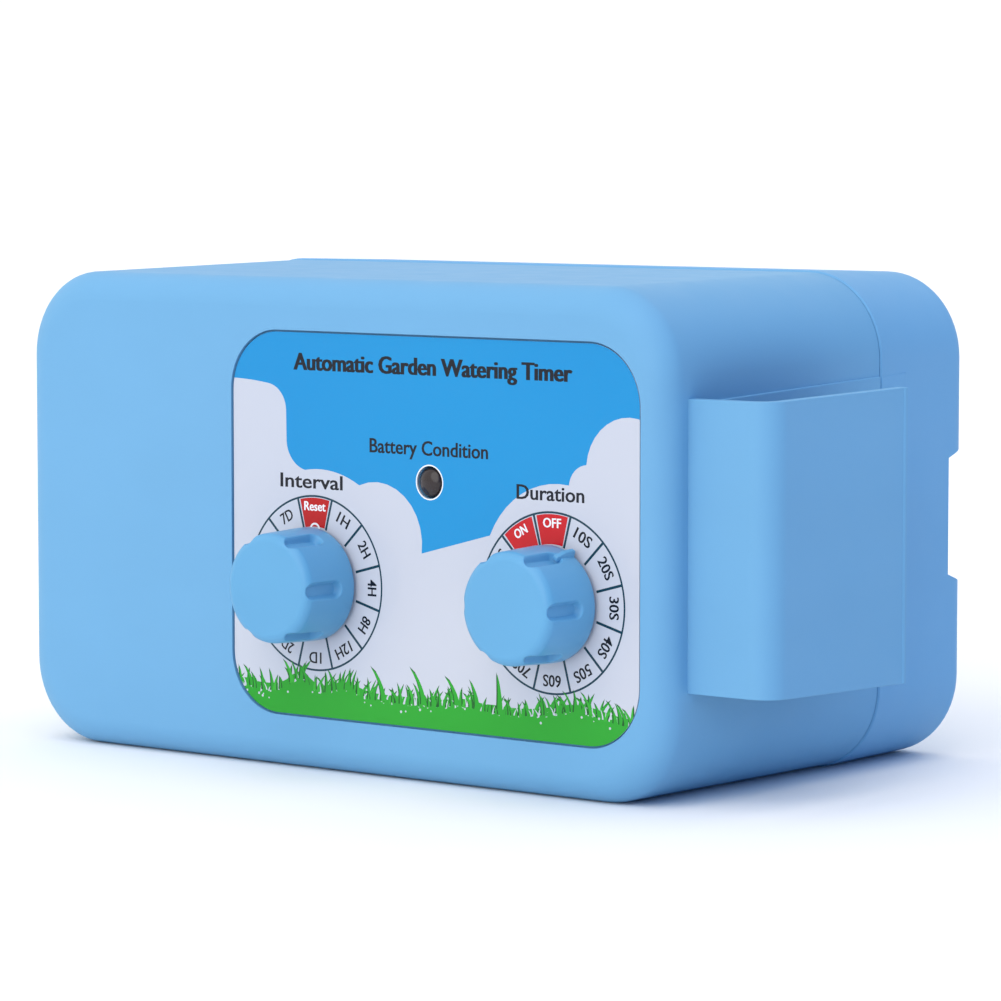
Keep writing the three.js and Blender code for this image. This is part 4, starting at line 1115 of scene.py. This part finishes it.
adopt(front_shell(), "case_front", "case", case_plastic, "front_shell", slot="case")
adopt(rear_cover(), "case_rear", "case", cover_plastic, "rear_cover", slot="case")
adopt(battery_door(), "door_panel", "door", door_plastic, "battery_door", slot="case")
adopt(label_print(), "label_print", "case", None, "label_panel", slot="label")
for dial_name, (dial_x, dial_sectors) in DIALS.items():
    cap = knob(dial_x, dial_sectors * SECTOR)
    adopt(cap, f"{dial_name}_cap", f"{dial_name}_dial", knob_plastic, f"{dial_name}_knob", slot="knob")
adopt(led_lens(), "indicator_lens", "case", lens_plastic, "status_led", slot="lens")
for port_name, port_y in (("inlet", -PORT_Y), ("outlet", PORT_Y)):
    adopt(hose_port(port_y), f"{port_name}_barb", "case", knob_plastic, f"{port_name}_port", slot="knob")
for number, (screw_x, screw_z) in enumerate(SCREW_SPOTS, 1):
    adopt(case_screw(screw_x, screw_z), f"cover_screw_{number}", "case", zinc,
          f"case_screw_{number}", slot="steel")
for number in range(1, 5):
    adopt(battery_cell(f"battery_cell_{number}"), f"aa_cell_{number}", "case", None,
          f"battery_cell_{number}", slot="cell")
TERMINALS = ((1, (0, 1)), (1, (2, 3)), (-1, (0,)), (-1, (1, 2)), (-1, (3,)))  # side and cells of each
for number, (side, cells) in enumerate(TERMINALS, 1):
    node_name = f"battery_terminal_{number}"
    adopt(terminal_springs(node_name, cells, side), f"spring_terminal_{number}", "case", nickel,
          node_name, slot="nickel")

# --- studio


def pale_floor():
    """A wide pale floor just below the object's foot."""
    material, tree, bsdf = shader("studio_floor")
    tone = mottled(tree, noise(tree, 3, 2), (0.9, 0.9, 0.905), (0.93, 0.93, 0.93))
    set_inputs(bsdf, {"Base Color": tone, "Roughness": 0.9, "Specular IOR Level": 0.2})
    size = 20000
    corners = [(-size, -size, 0), (size, -size, 0), (size, size, 0), (-size, size, 0)]
    floor = new_object("studio_floor", corners, [(0, 1, 2, 3)])
    floor.location.z = -0.05 * MM
    floor.data.materials.append(material)


def sun(name, place, power, width):
    """A distant light that shines from a place towards the origin, as wide as the angle in degrees."""
    light = bpy.data.lights.new(name, "SUN")
    light.energy = power
    light.angle = math.radians(width)
    holder = linked(name, light)
    holder.location = place
    holder.rotation_euler = (-Vector(place)).to_track_quat("-Z", "Y").to_euler()


def surround():
    """A white surround that is dimmer and cooler on the right, like a studio with a dark right wall."""
    world = bpy.data.worlds.new("studio")
    world.use_nodes = True
    tree = world.node_tree
    aim = tree.nodes.new("ShaderNodeVectorMath")
    aim.operation = "DOT_PRODUCT"
    set_inputs(aim, {0: add_node(tree, "TexCoord", {}).outputs["Generated"], 1: (0.99, 0.12, 0.0)})
    fade = spread(tree, aim.outputs["Value"], 0, 1, 0.22, 0.62)
    fade.node.interpolation_type = "SMOOTHSTEP"
    tone = blend_colours(tree, fade, (1.02, 1.02, 1.02), (0.17, 0.3, 0.62))
    set_inputs(tree.nodes["Background"], {"Color": tone, "Strength": 1})
    bpy.context.scene.world = world


def studio():
    """Floor, surround and two soft suns, shown without a film look."""
    pale_floor()
    surround()
    sun("key", (0.15, -1.0, 0.6), 1.1, 60)
    sun("overhead", (0.3, 0.0, 1.0), 0.7, 70)
    view = bpy.context.scene.view_settings
    view.view_transform = "Standard"
    view.look = "None"
    view.exposure = 0
    view.gamma = 1


def camera():
    """A long lens from the front right, a little above the case."""
    azimuth, elevation = math.radians(39.02), math.radians(4.76)
    forward = Vector((-math.sin(azimuth) * math.cos(elevation), math.cos(azimuth) * math.cos(elevation),
                      -math.sin(elevation)))
    lens = bpy.data.cameras.new("camera")
    lens.lens = 160.9
    lens.sensor_width = 36
    lens.clip_start, lens.clip_end = 0.05, 20
    eye = linked("camera", lens)
    eye.location = Vector((516.1, -633.6, 113.4)) * MM
    eye.rotation_mode = "QUATERNION"
    eye.rotation_quaternion = forward.to_track_quat("-Z", "Y")
    bpy.context.scene.camera = eye


studio()
camera()
